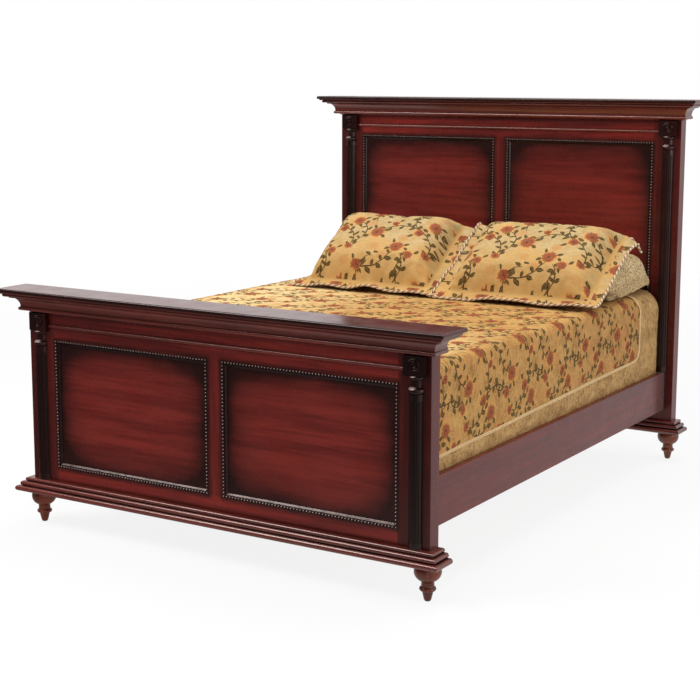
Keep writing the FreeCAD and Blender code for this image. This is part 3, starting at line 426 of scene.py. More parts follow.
def dress_nodes(boards):
    """Finishes every wooden, metal and plastic CAD node."""
    mouldings = wood("moulding_wood", "x", MOULDING_LIGHT, MOULDING_DEEP, uneven_burnish(0.20),
                     0.20, 0.95, corner_shade=0.85)
    strips = wood("strip_wood", "x", MOULDING_LIGHT, MOULDING_DEEP, uneven_burnish(0.10), gloss=0.6)
    pilasters = dark_wood("pilaster_wood", "z", 60, 0.45, 1.0, 0.9)
    turned = wood("foot_wood", "z", FOOT_LIGHT, FOOT_DEEP, uneven_burnish(0.15), 0.22, 0.6, corner_shade=0.7)
    for board in boards:
        name = board.name
        # Painted shade on each board's frame and panels.
        upright = wood(f"{name}_upright_wood", "z", CHERRY_LIGHT, CHERRY_DEEP, board.frame_burnish)
        level = wood(f"{name}_level_wood", "x", RAIL_LIGHT, CHERRY_DEEP, board.frame_burnish)
        panels = wood(f"{name}_panel_wood", "x", PANEL_LIGHT, PANEL_DEEP, board.panel_burnish)
        cap = wood(f"{name}_cap_wood", "x", CHERRY_LIGHT, CHERRY_DEEP,
                   cap_burnish(board.cap_front + 0.012), 0.20)
        for parts, material in (("post_left post_right middle_stile", upright),
                                ("top_rail bottom_rail", level), ("panel_left panel_right", panels),
                                ("crown_moulding base_moulding", mouldings), ("frieze_strip", strips),
                                ("cap", cap), ("pilaster_left pilaster_right", pilasters),
                                ("foot_left foot_right", turned)):
            dress(parts, material, f"{name}_")
    dress("middle_rail lower_panel", wood("hidden_level_wood", "x", CHERRY_LIGHT, CHERRY_DEEP),
          "headboard_")
    dress("side_rail_left side_rail_right", rail_wood())
    dress("rail_cleat_left rail_cleat_right", raw_wood("cleat_wood", "y"))
    dress("1 2 3 4", raw_wood("slat_wood", "x"), "slat_")
    dress("centre_beam", raw_wood("beam_wood", "y"))
    dress(" ".join(name for name in NODES if name.startswith("centre_leg_")), raw_wood("leg_wood", "z"))
    dress("post_hook_plates rail_hooks frame_screws", zinc_finish())
    dress("foot_end head_end", plastic_finish(), "levelling_glide_")


# ------------------------------------------------------------------ light and floor
STUDIO_DARK = 0.07          # how bright the studio behind the camera is in reflections


def rays(tree, *kinds):
    """1 for rays of each kind, else 0."""
    path = tree.nodes.new("ShaderNodeLightPath")
    return [Wire(tree, path.outputs[f"Is {kind} Ray"]) for kind in kinds]


def towards_headboard(x, y):
    """How far a place or a direction lies away from the camera."""
    return x * 0.53 + y * 0.85


def make_world():
    """A white studio: white to the eye, softer as light, and darker behind the camera."""
    world = bpy.data.worlds.new("studio")
    bpy.context.scene.world = world
    world.use_nodes = True
    tree = world.node_tree
    background = tree.nodes["Background"]
    camera, glossy, clear, diffuse = rays(tree, "Camera", "Glossy", "Transmission", "Diffuse")
    x, y, z = add_node(tree, "ShaderNodeTexCoord", output="Generated").split()
    studio = towards_headboard(x, y).ramp(-0.95, -0.15, STUDIO_DARK, 1.0) * z.ramp(0.25, 0.8, 1.0, 0.28)
    seen = camera.most(clear).most(glossy * studio)
    feed(tree, background.inputs["Strength"], seen.most(diffuse * 0.50))
    background.inputs["Color"].default_value = (1, 1, 1, 1)


def make_floor():
    """A plain pale floor that keeps a soft shadow."""
    bpy.ops.mesh.primitive_plane_add(size=60)
    floor = bpy.context.object
    floor.name = "floor"
    material, tree, shader = new_material("floor", {"Base Color": (0.86, 0.86, 0.86, 1),
                                                    "Roughness": 0.9, "Specular IOR Level": 0.0})
    place = place_of(tree)
    camera, glossy, clear = rays(tree, "Camera", "Glossy", "Transmission")
    x, y, _ = place.split()
    studio = towards_headboard(x, y).ramp(-2.4, 0.4, STUDIO_DARK, 0.8)
    away = place.vector("LENGTH").ramp(2.0, 7.0, 0.86, 1.0)
    share = (camera * away).most(clear).most(glossy)
    glow = tree.nodes.new("ShaderNodeEmission")
    feed(tree, glow.inputs["Strength"], camera.most(clear).most(glossy * studio))
    mix = tree.nodes.new("ShaderNodeMixShader")
    feed(tree, mix.inputs[0], share)
    tree.links.new(shader.outputs[0], mix.inputs[1])
    tree.links.new(glow.outputs[0], mix.inputs[2])
    tree.links.new(mix.outputs[0], tree.nodes["Material Output"].inputs[0])
    floor.data.materials.append(material)


def make_lamp(name, place, target, size, power):
    data = bpy.data.lights.new(name, "AREA")
    data.shape = "RECTANGLE"
    data.size, data.size_y = size
    data.energy = power
    lamp = bpy.data.objects.new(name, data)
    bpy.context.scene.collection.objects.link(lamp)
    lamp.location = place
    aim = Vector(target) - Vector(place)
    lamp.rotation_euler = aim.to_track_quat("-Z", "Y").to_euler()


def make_lights():
    make_lamp("key_light", (-2.6, -3.2, 4.4), (0, -0.2, 0.6), (3.0, 2.0), 190)
    make_lamp("top_light", (0.6, 0.8, 4.8), (0.2, 0.3, 0.6), (4.0, 3.0), 130)
    make_lamp("side_light", (5.2, -0.6, 2.2), (0.6, 0, 0.5), (2.5, 2.5), 60)


# ------------------------------------------------------------------- mesh helpers
def mesh_object(name, points, faces, material, body=ROOT, smooth=True):
    """A mesh piece that rides on a body."""
    mesh = bpy.data.meshes.new(name)
    mesh.from_pydata([tuple(p) for p in points], [], faces)
    mesh.validate()
    if smooth:
        mesh.shade_smooth()
    piece = bpy.data.objects.new(name, mesh)
    bpy.context.scene.collection.objects.link(piece)
    mesh.materials.append(material)
    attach(piece, body)
    return piece


def quads(rows, columns, ring=False, loop=False, first=0):
    """Faces between rows of points. A ring joins each row's ends, a loop the last row and the first."""
    faces = []
    for row in range(rows if loop else rows - 1):
        here = first + row * columns
        following_row = first + (row + 1) % rows * columns
        for column in range(columns if ring else columns - 1):
            other = (column + 1) % columns
            faces.append((here + column, here + other, following_row + other, following_row + column))
    return faces


def end_caps(rows, columns):
    """The two faces that close a tube's ends."""
    last = (rows - 1) * columns
    return [tuple(range(columns - 1, -1, -1)), tuple(range(last, last + columns))]


# ------------------------------------------------------------- panel mouldings
PEARL_PITCH = 0.0125
PEARL_RADIUS = 0.0041
PEARL_ROW = 0.0042          # from the opening's edge to the middle of the pearls
PEARL_SEAT = 0.0088         # how high the pearls sit over the panel
PEARL_RINGS = 4
PEARL_SECTIONS = 10


def moulding_profile():
    """From the opening's edge inwards, and up from the panel: a pearl seat, then an ogee."""
    shelf, toe, ogee_start, ogee_width = 0.0070, 0.0012, 0.0100, 0.0080
    points = [(0.0, 0.0), (0.0, PEARL_SEAT), (0.0084, PEARL_SEAT), (0.0090, shelf)]
    steps = 8
    for step in range(steps + 1):
        share = step / steps
        points.append((ogee_start + ogee_width * share,
                       toe + (shelf - toe) * (0.5 + 0.5 * math.cos(math.pi * share))))
    points.append((ogee_start + ogee_width, 0.0))
    return points


def pearl_spots(low, high):
    """The middles of the pearls, evenly along all four sides."""
    wide = high.x - low.x - 2 * PEARL_ROW
    tall = high.z - low.z - 2 * PEARL_ROW
    across = round(wide / PEARL_PITCH)
    upright = round(tall / PEARL_PITCH)
    spots = []
    for step in range(across + 1):
        x = low.x + PEARL_ROW + wide * step / across
        spots += [(x, low.z + PEARL_ROW), (x, high.z - PEARL_ROW)]
    for step in range(1, upright):
        z = low.z + PEARL_ROW + tall * step / upright
        spots += [(low.x + PEARL_ROW, z), (high.x - PEARL_ROW, z)]
    return spots


def panel_moulding(board, side, material, pearl_finish):
    """A mitred moulding round a panel, and its row of turned pearls."""
    node = f"{board.name}_panel_moulding_{side}"
    low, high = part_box(node)
    profile = moulding_profile()
    points = []
    for inwards, up in profile:
        left, right, bottom, top = (low.x + inwards, high.x - inwards, low.z + inwards, high.z - inwards)
        for x, z in ((left, bottom), (right, bottom), (right, top), (left, top)):
            points.append((x, board.panel_face - up, z))
    ring = mesh_object(f"{node}_ring", points, quads(len(profile), 4, ring=True, loop=True), material,
                       smooth=False)
    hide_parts(node)
    points, faces = [], []
    seat = board.panel_face - PEARL_SEAT
    for x, z in pearl_spots(low, high):
        first = len(points)
        for number in range(PEARL_RINGS):
            tilt = math.pi / 2 * number / PEARL_RINGS
            radius = PEARL_RADIUS * math.cos(tilt)
            for step in range(PEARL_SECTIONS):
                turn = 2 * math.pi * step / PEARL_SECTIONS
                points.append((x + radius * math.cos(turn), seat - PEARL_RADIUS * math.sin(tilt),
                               z + radius * math.sin(turn)))
        points.append((x, seat - PEARL_RADIUS, z))
        tip = len(points) - 1
        faces += quads(PEARL_RINGS, PEARL_SECTIONS, ring=True, first=first)
        last = first + (PEARL_RINGS - 1) * PEARL_SECTIONS
        for step in range(PEARL_SECTIONS):
            faces.append((last + step, last + (step + 1) % PEARL_SECTIONS, tip))
    mesh_object(f"{board.name}_pearls_{side}", points, faces, pearl_finish)


# ------------------------------------------------------------------ woven cloth
TILE = (0.380, 0.350)       # the printed design repeats after this much cloth
STEM = (0.036, 0.020, 0.007)
LEAF = (0.062, 0.038, 0.009)
LEAF_EDGE = (0.022, 0.013, 0.004)
LEAF_VEIN = (0.230, 0.150, 0.050)
BLOOM = (0.390, 0.092, 0.038)
BLOOM_DEEP = (0.130, 0.030, 0.018)
BLOOM_EYE = (0.075, 0.024, 0.012)
FADED = (0.480, 0.215, 0.070)
GLOW = (0.600, 0.285, 0.070)

# Each stem is an arc: (centre u, centre v, radius, middle of the arc and half its span in degrees,
# pitch of its leaves). Lengths in these lists are in millimetres.
STEMS = [
    (190, -40, 150, 90, 54, 58), (60, 330, 140, -60, 48, 52), (330, 170, 110, 180, 54, 54),
    (300, 40, 90, 20, 58, 50), (250, 330, 95, 30, 56, 50), (96, 166, 74, 150, 62, 56),
    (186, 214, 62, -10, 60, 60),
]
# Each bloom is (u, v, radius, petals, turn in degrees).
BLOOMS = [
    (66, 46, 37, 11, 0), (197, 304, 35, 12, 20), (318, 134, 32, 10, 40), (18, 198, 28, 9, 10),
    (268, 262, 23, 8, 0), (262, 74, 25, 9, 30), (338, 290, 21, 7, 15), (132, 122, 19, 7, 5),
]
# Faded blooms behind, like the blooms but in a thread close to the ground.
SHADES = [(150, 246, 27, 8, 0), (16, 112, 28, 7, 15), (338, 214, 24, 8, 5), (206, 24, 27, 7, 25),
          (90, 300, 24, 7, 40)]
# Single leaves that stand off the stems: (u, v, turn in degrees, length).
LEAVES = [
    (108, 66, 30, 37), (44, 90, 118, 36), (104, 22, -38, 35), (240, 322, 18, 37), (172, 346, 108, 35),
    (156, 288, 200, 34), (300, 284, 50, 33), (246, 292, 130, 33), (228, 48, 215, 34), (286, 98, -38, 34),
    (352, 156, 35, 36), (340, 96, -62, 34), (52, 214, 22, 35), (2, 232, 104, 33), (362, 312, 50, 31),
    (150, 150, 52, 32), (96, 128, 168, 32), (112, 262, -30, 33), (216, 176, 70, 33), (14, 20, 200, 34),
]
STEM_LEAF = (0.0158, 0.0078)    # half the length and half the width of a leaf on a stem
STEM_LEAF_TILT = math.radians(52)


def motif_place(cloth, u, v, turn):
    """The place on the cloth as seen from a motif that the design repeats."""
    half = (TILE[0] / 2, TILE[1] / 2, 1)
    local = cloth.vector("SUBTRACT", (u / 1000, v / 1000, 0))
    wrapped = local.vector("WRAP", half, tuple(-h for h in half))
    node = cloth.tree.nodes.new("ShaderNodeVectorRotate")
    node.rotation_type = "Z_AXIS"
    feed(cloth.tree, node.inputs["Vector"], wrapped)
    node.inputs["Angle"].default_value = -math.radians(turn)
    return Wire(cloth.tree, node.outputs[0]).split()[:2]


def polar(x, y):
    return (x * x + y * y).math("SQRT"), y.math("ARCTAN2", x)


def leaf_shape(cloth, u, v, turn, length):
    """How far inside a pointed leaf a place is, and how close to its middle vein."""
    x, y = motif_place(cloth, u, v, turn)
    half = length / 2150
    along = x / half
    width = (along * along * -1 + 1) * (half * 0.46)
    return width - abs(y), abs(y)


def stem_shapes(cloth, u, v, radius, middle, span, pitch):
    """How far inside a bowed stem a place is, and inside the leaves along it, and near their veins."""
    distance, turn = polar(*motif_place(cloth, u, v, middle))
    offset = distance - radius / 1000
    within = (abs(turn) * -1 + math.radians(span)) * (radius / 1000)
    taper = within.ramp(0.0, 0.06, 0.0012, 0.0024)
    stem = (taper - abs(offset)).least(within)
    step = pitch / 1000
    along = turn * (radius / 1000) + offset.math("SIGN") * (step / 4)
    along = along.math("WRAP", step / 2, -step / 2)
    out = abs(offset) - 0.001
    sin_tilt, cos_tilt = math.sin(STEM_LEAF_TILT), math.cos(STEM_LEAF_TILT)
    leaf_along = along * cos_tilt + out * sin_tilt - STEM_LEAF[0]
    leaf_across = abs(out * cos_tilt - along * sin_tilt)
    share = leaf_along / STEM_LEAF[0]
    leaf = (share * share * -1 + 1) * STEM_LEAF[1] - leaf_across
    return stem, leaf.least(within - 0.008), leaf_across


def bloom_shape(cloth, u, v, radius, petals, turn):
    """How far inside a fringed bloom a place is, its share of the radius and its petals' phase."""
    distance, angle = polar(*motif_place(cloth, u, v, turn))
    wave = abs((angle * (petals / 2)).math("COSINE"))
    fringe = abs((angle * (petals * 1.5)).math("SINE"))
    edge = (wave * 0.20 + fringe * 0.16 + 0.68) * (radius / 1000)
    return edge - distance, distance / (radius / 1000), wave


def floral(cloth, ground):
    """Lays a repeating design of blooms, leaves and stems over a ground colour."""
    soft = 0.0008
    shift = cloth.noise(32, 3, output="Color").vector("SUBTRACT", (0.5, 0.5, 0.5))
    strokes = cloth.noise(170, 2, 0.7)
    patches = cloth.noise(22, 3, 0.6)
    cloth = cloth.vector("ADD", shift.vector("MULTIPLY", (0.017, 0.017, 0)))
    colour = ground
    for shade in SHADES:
        inside, _, wave = bloom_shape(cloth, *shade)
        faded = inside.ramp(-soft, soft) * wave.ramp(0.1, 0.5, 0.25, 0.75)
        colour = (faded * strokes.ramp(0.35, 0.6, 0.5, 1.0)).blend(colour, FADED)
    stems = [stem_shapes(cloth, *stem) for stem in STEMS]
    leaves = [stem[1:] for stem in stems] + [leaf_shape(cloth, *leaf) for leaf in LEAVES]
    insides = [leaf.ramp(-soft, soft) for leaf, _ in leaves]
    veins = [inside * offset.ramp(0.0004, 0.0014, 1.0, 0.0)
             for inside, (_, offset) in zip(insides, leaves)]
    blooms = [bloom_shape(cloth, *bloom) for bloom in BLOOMS]
    for _, share, _ in blooms:
        colour = (share.ramp(0.85, 1.75, 0.7, 0.0) * patches.ramp(0.35, 0.6)).blend(colour, GLOW)
    colour = (widest([stem[0] for stem in stems]).ramp(-soft, soft) * 0.94).blend(colour, STEM)
    leaf_colour = widest([leaf for leaf, _ in leaves]).ramp(0.0008, 0.0030).blend(LEAF_EDGE, LEAF)
    leaf_colour = (widest(veins) * 0.7).blend(leaf_colour, LEAF_VEIN)
    leaf_colour = strokes.ramp(0.50, 0.64, 0.0, 0.30).blend(leaf_colour, LEAF_VEIN)
    colour = (widest(insides) * 0.95).blend(colour, leaf_colour)
    for inside, share, wave in blooms:
        rings = (share * 17).math("SINE").ramp(-0.2, 0.7, 0.0, 0.45)
        petals = wave.ramp(0.05, 0.42, 0.85, 0.0) * share.ramp(0.2, 0.4)
        tone = widest([rings, petals, strokes.ramp(0.44, 0.56, 0.0, 0.75)]).blend(BLOOM, BLOOM_DEEP)
        tone = share.ramp(0.14, 0.30, 0.9, 0.0).blend(tone, BLOOM_EYE)
        tone = (share.ramp(0.62, 0.95, 0.0, 0.7) * patches.ramp(0.40, 0.55)).blend(tone, FADED)
        colour = (inside.ramp(-soft, soft) * 0.90).blend(colour, tone)
    return colour


def make_design():
    """The printed design as a node group, so that every cloth shares it."""
    group = bpy.data.node_groups.new("flower_and_vine", "ShaderNodeTree")
    for title, way, kind in (("Place", "INPUT", "Vector"), ("Ground", "INPUT", "Color"),
                             ("Color", "OUTPUT", "Color")):
        group.interface.new_socket(title, in_out=way, socket_type=f"NodeSocket{kind}")
    start = group.nodes.new("NodeGroupInput")
    end = group.nodes.new("NodeGroupOutput")
    feed(group, end.inputs[0], floral(Wire(group, start.outputs[0]), Wire(group, start.outputs[1])))
    return group


DESIGN = make_design()
GOLD = ((0.630, 0.385, 0.128), (0.270, 0.118, 0.028))       # light and deep
CREAM = ((0.530, 0.395, 0.200), (0.380, 0.235, 0.085))
BAND = ((0.600, 0.375, 0.155), (0.190, 0.088, 0.030))
BEIGE = ((0.680, 0.520, 0.300), (0.520, 0.370, 0.180))


def print_on(cloth, ground):
    """The ground colour with the printed design over it."""
    return add_node(cloth.tree, "ShaderNodeGroup", (cloth, ground), node_tree=DESIGN)


def woven_ground(cloth, colours, speckle):
    """A colour mottled between light and deep and streaked along the cloth, and its threads."""
    blotch = cloth.noise(14, 3, 0.6)
    slub = cloth.noise(80, 4, 0.75, 0.2, (0.45, 1, 1))
    thread = cloth.noise(300, 2, 0.7, 0.0, (0.6, 1, 1))
    tone = blotch * 0.25 + slub * (0.35 * speckle) + thread * (0.40 * speckle)
    middle = 0.125 + 0.375 * speckle
    light, deep = colours
    tone = tone.ramp(middle - 0.07 * speckle - 0.04, middle + 0.07 * speckle + 0.02)
    return tone.blend(deep, light), thread


def cloth_material(name):
    """A material with a cloth's dull shine."""
    return new_material(name, {"Roughness": 0.72, "Specular IOR Level": 0.06, "Sheen Weight": 0.02,
                               "Sheen Roughness": 0.5})


def finish_cloth(tree, shader, colour, thread, cloth):
    paint(tree, shader, colour)
    weave = cloth.noise(900, 1)
    relief(tree, shader, thread * 0.5 + weave * 0.5, 0.0012, 0.5)


def past_seam(u, v, form):
    """How far out on a cushion's flange a place is, negative on its body."""
    return (abs(u) - form.seam[0]).most(abs(v) - form.seam[1])


def coverlet_material(foot, head):
    """Gold floral cloth inside the piping, plain mottled gold in the border outside it.

    foot and head are (v, half width of the field there); the field ends at head's v.
    """
    material, tree, shader = cloth_material("coverlet_cloth")
    cloth = cloth_place(tree)
    ground, thread = woven_ground(cloth, GOLD, 1.0)
    u, v, _ = cloth.split()
    blush = cloth.noise(7, 3, 0.6).ramp(0.48, 0.66, 0.0, 0.45)
    ground = blush.blend(ground, (0.520, 0.245, 0.075))
    # Painted light and sheen: the top is painted lighter near the foot end and over its left part.
    bright = v.ramp(-0.95, -0.10, 0.75, 0.0) * abs(u).ramp(0.62, 0.76, 1.0, 0.0)
    bright = bright.most(u.ramp(-0.70, 0.15, 0.75, 0.0) * u.ramp(-0.76, -0.70))
    ground = bright.blend(ground, (0.820, 0.620, 0.300))
    # Painted shade: the hanging sides are painted darker than the top, more so towards the head end.
    hanging = abs(u).ramp(0.74, 0.80) * v.ramp(0.0, 0.9, 0.20, 0.38)
    ground = hanging.blend(ground, (0.300, 0.130, 0.055))
    printed = print_on(cloth.vector("MULTIPLY", (1.10, 1.10, 1)), ground)
    border, _ = woven_ground(cloth.vector("MULTIPLY", (1.3, 0.9, 1)), BAND, 1.3)
    half = (v - foot[0]) * ((head[1] - foot[1]) / (head[0] - foot[0])) + foot[1]
    past_side = (abs(u) - half + PIPING_TURN).most(0)
    past_head = (v - head[0] + PIPING_TURN).most(0)
    outside = (past_side * past_side + past_head * past_head).math("SQRT") - PIPING_TURN
    seam = near(v, head[0] - 0.040, head[0] - 0.0385, 0.001) * 0.5
    border = seam.blend(border, (0.16, 0.09, 0.03))
    finish_cloth(tree, shader, outside.ramp(-0.001, 0.001).blend(printed, border), thread, cloth)
    return material


def sham_material(form):
    """The same cloth, creamier, with a plain gold band along the seam of the body, and painted shade
    deepening its lower part to gold.
    """
    material, tree, shader = cloth_material(f"sham_print_{round(form.half[0] * 2000)}")
    cloth = cloth_place(tree)
    ground, thread = woven_ground(cloth, CREAM, 0.90)
    u, v, _ = cloth.split()
    # Painted shade and painted warm bounce light: the lower part of the sham turns a deeper gold.
    ground = v.ramp(-0.27, 0.04, 0.62, 0.0).blend(ground, (0.560, 0.300, 0.082))
    glow = cloth.noise(5, 2, 0.5).ramp(0.50, 0.66, 0.0, 0.5)
    ground = glow.blend(ground, (0.560, 0.320, 0.105))
    printed = print_on(cloth.vector("ADD", (0.08, 0.05, 0)), ground)
    band = near(past_seam(u, v, form), 0.000, 0.011, 0.0015)
    finish_cloth(tree, shader, band.blend(printed, (0.520, 0.310, 0.105)), thread, cloth)
    return material


def pillow_material(form):
    """Beige cloth with small brown speckles, and a flange with painted shade that makes it a little
    browner.

    The speckles also vary with height, so that they don't run down the steep sides.
    """
    material, tree, shader = cloth_material("pillow_print")
    u, v, _ = cloth_place(tree).split()
    cloth = join(u, v, place_of(tree).split()[2])
    ground, thread = woven_ground(cloth, BEIGE, 0.6)
    speckle = cloth.noise(130, 2, 0.7).ramp(0.52, 0.57, 0.0, 0.90)
    plain = speckle.blend(ground, (0.170, 0.085, 0.030))
    # Painted shade: the flange is painted a little browner, like the flap in shadow.
    flange = past_seam(u, v, form).ramp(-0.001, 0.001) * 0.25
    finish_cloth(tree, shader, flange.blend(plain, (0.300, 0.170, 0.065)), thread, cloth)
    return material


# ----------------------------------------------------------------- the cushions
def spread_out(half, flange, pitch):
    """Places across a cushion from edge to edge, with lines on both seams."""
    body_steps = max(2, round(2 * (half - flange) / pitch))
    edge_steps = max(2, round(flange / pitch))
    seam = half - flange
    edge = np.linspace(-half, -seam, edge_steps + 1)
    body = np.linspace(-seam, seam, body_steps + 1)
    return np.concatenate([edge[:-1], body, -edge[::-1][1:]])


def smooth_noise(seed, count):
    """A few seeded sine waves along a line, between about -1 and 1."""
    rng = random.Random(seed)
    waves = [(rng.uniform(1.5, 2 + count), rng.uniform(0, 2 * math.pi), rng.uniform(0.5, 1))
             for _ in range(6)]
    total = sum(w[2] for w in waves)

    def at(t):
        return sum(size * math.sin(2 * math.pi * pitch * t + phase)
                   for pitch, phase, size in waves) / total

    return at


def clamp(value):
    return min(1.0, max(0.0, value))


@dataclass
class Cushion:
    """A leaning flanged cushion: a stuffed body between two faces, and a thin flange round it.

    Its flat cloth spans (p, q), both 0 in its middle. Angles are in degrees.
    """

    size: tuple                 # the flat cloth's width and length
    flange: float
    crowns: tuple               # how far the front and the back of the body bulge
    lean: float
    folds: tuple                # how far the left, right and top flanges turn back
    seed: int
    wave: float                 # how far the flange ripples
    drawn: float                # how much of its length the body keeps when stuffed
    squareness: tuple           # higher powers keep the body full nearer its seams
    waist: float = 0.0          # how far the stuffing draws the sides in
    droop: float = 0.0          # how far the upper right flange hangs
    lift: float = 0.0           # how far waves raise the bottom flange
    skew: float = 0.0           # how far the cushion shears to the left per metre of its cloth
    thick: float = 0.004
    steps: int = 240

    def __post_init__(self):
        width, length = self.size
        self.half = (width / 2, length / 2)
        self.seam = (width / 2 - self.flange, length / 2 - self.flange)
        self.ripple = smooth_noise(self.seed, 5)
        self.fine = smooth_noise(self.seed + 50, 9)
        self.lumps = smooth_noise(self.seed + 90, 3)
        self.line = [(0.0, 0.0)]
        for step in range(self.steps):
            along = (step + 0.5) / self.steps * length
            stuffed = self.flange < along < length - self.flange
            stride = length / self.steps * (self.drawn if stuffed else 1.0)
            angle = self.tilt(along)
            y, z = self.line[-1]
            self.line.append((y + stride * math.cos(angle), z + stride * math.sin(angle)))

    def tilt(self, along):
        """How steep the middle surface is, so far up the cloth."""
        length = 2 * self.half[1]
        share = (along - self.flange) / (length - 2 * self.flange)
        bow = 3 * math.sin(math.pi * clamp(share))
        past = clamp((along - (length - self.flange - 0.004)) / 0.018)
        return math.radians(self.lean + bow - 2 - past * self.folds[2])

    def fullness(self, p, q):
        share_p = max(0.0, 1 - abs(p / self.seam[0]) ** self.squareness[0])
        share_q = max(0.0, 1 - abs(q / self.seam[1]) ** self.squareness[1])
        return (share_p * share_q) ** 0.5

    def held(self, p, q):
        """Whether a place is on a seam or on the flange."""
        return bool(abs(p) > self.seam[0] - 1e-6 or abs(q) > self.seam[1] - 1e-6)

    def place(self, p, q, layer):
        """Where a point of the cloth lies, from the middle of the bottom edge."""
        crown = self.crowns[0] if layer > 0 else self.crowns[1]
        lump = 1 + 0.07 * self.lumps(0.7 * p + 0.4 * q) + 0.05 * self.ripple(0.9 * q - 0.6 * p)
        bulge = 0.0 if self.held(p, q) else crown * self.fullness(p, q) * lump
        off = layer * (self.thick / 2 + bulge)
        along = q + self.half[1]
        spot = min(self.steps - 1e-6, along / (2 * self.half[1]) * self.steps)
        first = int(spot)
        (y0, z0), (y1, z1) = self.line[first], self.line[first + 1]
        y = y0 + (y1 - y0) * (spot - first)
        z = z0 + (z1 - z0) * (spot - first)
        angle = self.tilt(along)
        pull = self.waist * max(0.0, 1 - (q / self.half[1]) ** 4)
        sign = 1 if p > 0 else -1
        beyond = max(0.0, abs(p) - self.seam[0])
        flat_part = abs(p) - beyond
        fold = math.radians(self.folds[0 if p < 0 else 1]) * clamp((along - 0.03) / 0.12)
        x = sign * (flat_part * (1 - pull / self.seam[0]) + beyond * math.cos(fold))
        off -= beyond * math.sin(fold)
        out = max(beyond, abs(q) - self.seam[1])
        if out > 0:
            around = math.atan2(q / self.half[1], p / self.half[0]) / (2 * math.pi)
            share = (out / self.flange) ** 1.3
            off += share * self.wave * (0.7 * self.ripple(around) + 0.3 * self.fine(around))
            low_part = clamp((abs(q) - self.seam[1]) / self.flange) if q < 0 else 0.0
            off += low_part * self.lift * max(0.0, 0.35 + 1.6 * self.fine(around))
        if p > 0:
            upper = clamp((q / self.half[1] - 0.45) / 0.55)
            off -= self.droop * upper ** 1.5 * (beyond / self.flange)
        return (x - self.skew * q, y - off * math.sin(angle), z + off * math.cos(angle))

    def mesh(self, pitch):
        """Points, faces, flat places, whether the flange holds each point, and the rim."""
        across = spread_out(self.half[0], self.flange, pitch)
        along = spread_out(self.half[1], self.flange, pitch)
        columns, rows = len(across), len(along)
        flat = [(p, q) for q in along for p in across]
        points = [self.place(p, q, layer) for layer in (1, -1) for p, q in flat]
        held = [self.held(p, q) for p, q in flat]
        size = columns * rows
        faces = []
        for a, b, c, d in quads(rows, columns):
            faces += [(a, b, c, d), (a + size, d + size, c + size, b + size)]
        rim = self.rim(columns, rows)
        for a, b in zip(rim, rim[1:] + rim[:1]):
            faces.append((b, a, a + size, b + size))
        return points, faces, flat * 2, held * 2, rim

    @staticmethod
    def rim(columns, rows):
        """The front layer's outer points, in order round the edge."""
        bottom = list(range(columns))
        right = [row * columns + columns - 1 for row in range(1, rows)]
        top = [(rows - 1) * columns + column for column in range(columns - 2, -1, -1)]
        left = [row * columns for row in range(rows - 2, 0, -1)]
        return bottom + right + top + left


def add_cloth_map(mesh, flat):
    layer = mesh.uv_layers.new(name="cloth")
    for loop in mesh.loops:
        layer.data[loop.index].uv = flat[loop.vertex_index]


def puff(piece, held, pressure, cap):
    """Blows a stuffed piece up with its flange held, and caps how far a point moves."""
    frames = 20
    start = np.array([v.co for v in piece.data.vertices])
    group = piece.vertex_groups.new(name="held")
    group.add([i for i, h in enumerate(held) if h], 1.0, "REPLACE")
    cloth = piece.modifiers.new("Cloth", "CLOTH")
    for option, value in {
            "quality": 6, "mass": 0.3, "tension_stiffness": 12, "compression_stiffness": 12,
            "shear_stiffness": 5, "bending_stiffness": 0.4, "vertex_group_mass": "held",
            "use_pressure": True, "uniform_pressure_force": pressure, "shrink_min": -0.045}.items():
        setattr(cloth.settings, option, value)
    cloth.settings.effector_weights.gravity = 0
    cloth.point_cache.frame_start = 1
    cloth.point_cache.frame_end = frames
    scene = bpy.context.scene
    for step in range(1, frames + 1):
        scene.frame_set(step)
    graph = bpy.context.evaluated_depsgraph_get()
    moved = np.array([v.co for v in piece.evaluated_get(graph).data.vertices])
    piece.modifiers.remove(cloth)
    piece.vertex_groups.remove(group)
    scene.frame_set(1)
    shift = moved - start
    far = np.linalg.norm(shift, axis=1, keepdims=True)
    shift *= np.minimum(1, cap / np.maximum(far, 1e-9))
    piece.data.vertices.foreach_set("co", (start + shift).ravel())
    piece.data.update()


def bed_height(x, y):
    """The top of the coverlet beneath a place, falling away past its shoulders."""
    radius = shoulder(y)
    past = min(max(0.0, abs(x) - (HALF_WIDE - radius)), radius)
    return COVERLET_TOP - (radius - math.sqrt(radius * radius - past * past))


def rest_on_bed(piece, gap):
    """Lays the parts of a cushion that would sink into the bed flat on it."""
    points = np.array([v.co for v in piece.data.vertices])
    for point in points:
        point[2] = max(point[2], bed_height(point[0], point[1]) + gap)
    piece.data.vertices.foreach_set("co", points.ravel())
    piece.data.update()


def make_cushion(kind, side, form, shift, pitch, material, pressure, cap):
    """A simulated cushion in place of a CAD node, with the path of its rim."""
    node = f"{kind}_{side}"
    low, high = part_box(node)
    origin = ((low.x + high.x) / 2 + shift[0], low.y + shift[1], low.z + shift[2])
    points, faces, flat, held, rim = form.mesh(pitch)
    points = [(x + origin[0], y + origin[1], z + origin[2]) for x, y, z in points]
    piece = mesh_object(f"{node}_cushion", points, faces, material, f"{side}_{kind}")
    add_cloth_map(piece.data, flat)
    puff(piece, held, pressure, cap)
    rest_on_bed(piece, 0.0008)
    size = len(points) // 2
    vertices = piece.data.vertices
    path = [(vertices[i].co + vertices[i + size].co) / 2 for i in rim]
    finer = piece.modifiers.new("Subdivision", "SUBSURF")
    finer.levels = 1
    finer.render_levels = 1
    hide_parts(node)
    return path


def make_pillows():
    material = None
    for side, seed in zip(SIDES, (11, 12)):
        form = Cushion((0.716, 0.490), 0.034, (0.098, 0.050), 4, (66, 84, 52), seed, wave=0.008,
                       drawn=0.97, squareness=(20.0, 5.0), droop=0.006)
        material = material or pillow_material(form)
        make_cushion("pillow", side, form, (-0.016, 0.002, 0.034), 0.0125, material, 3.0, 0.012)


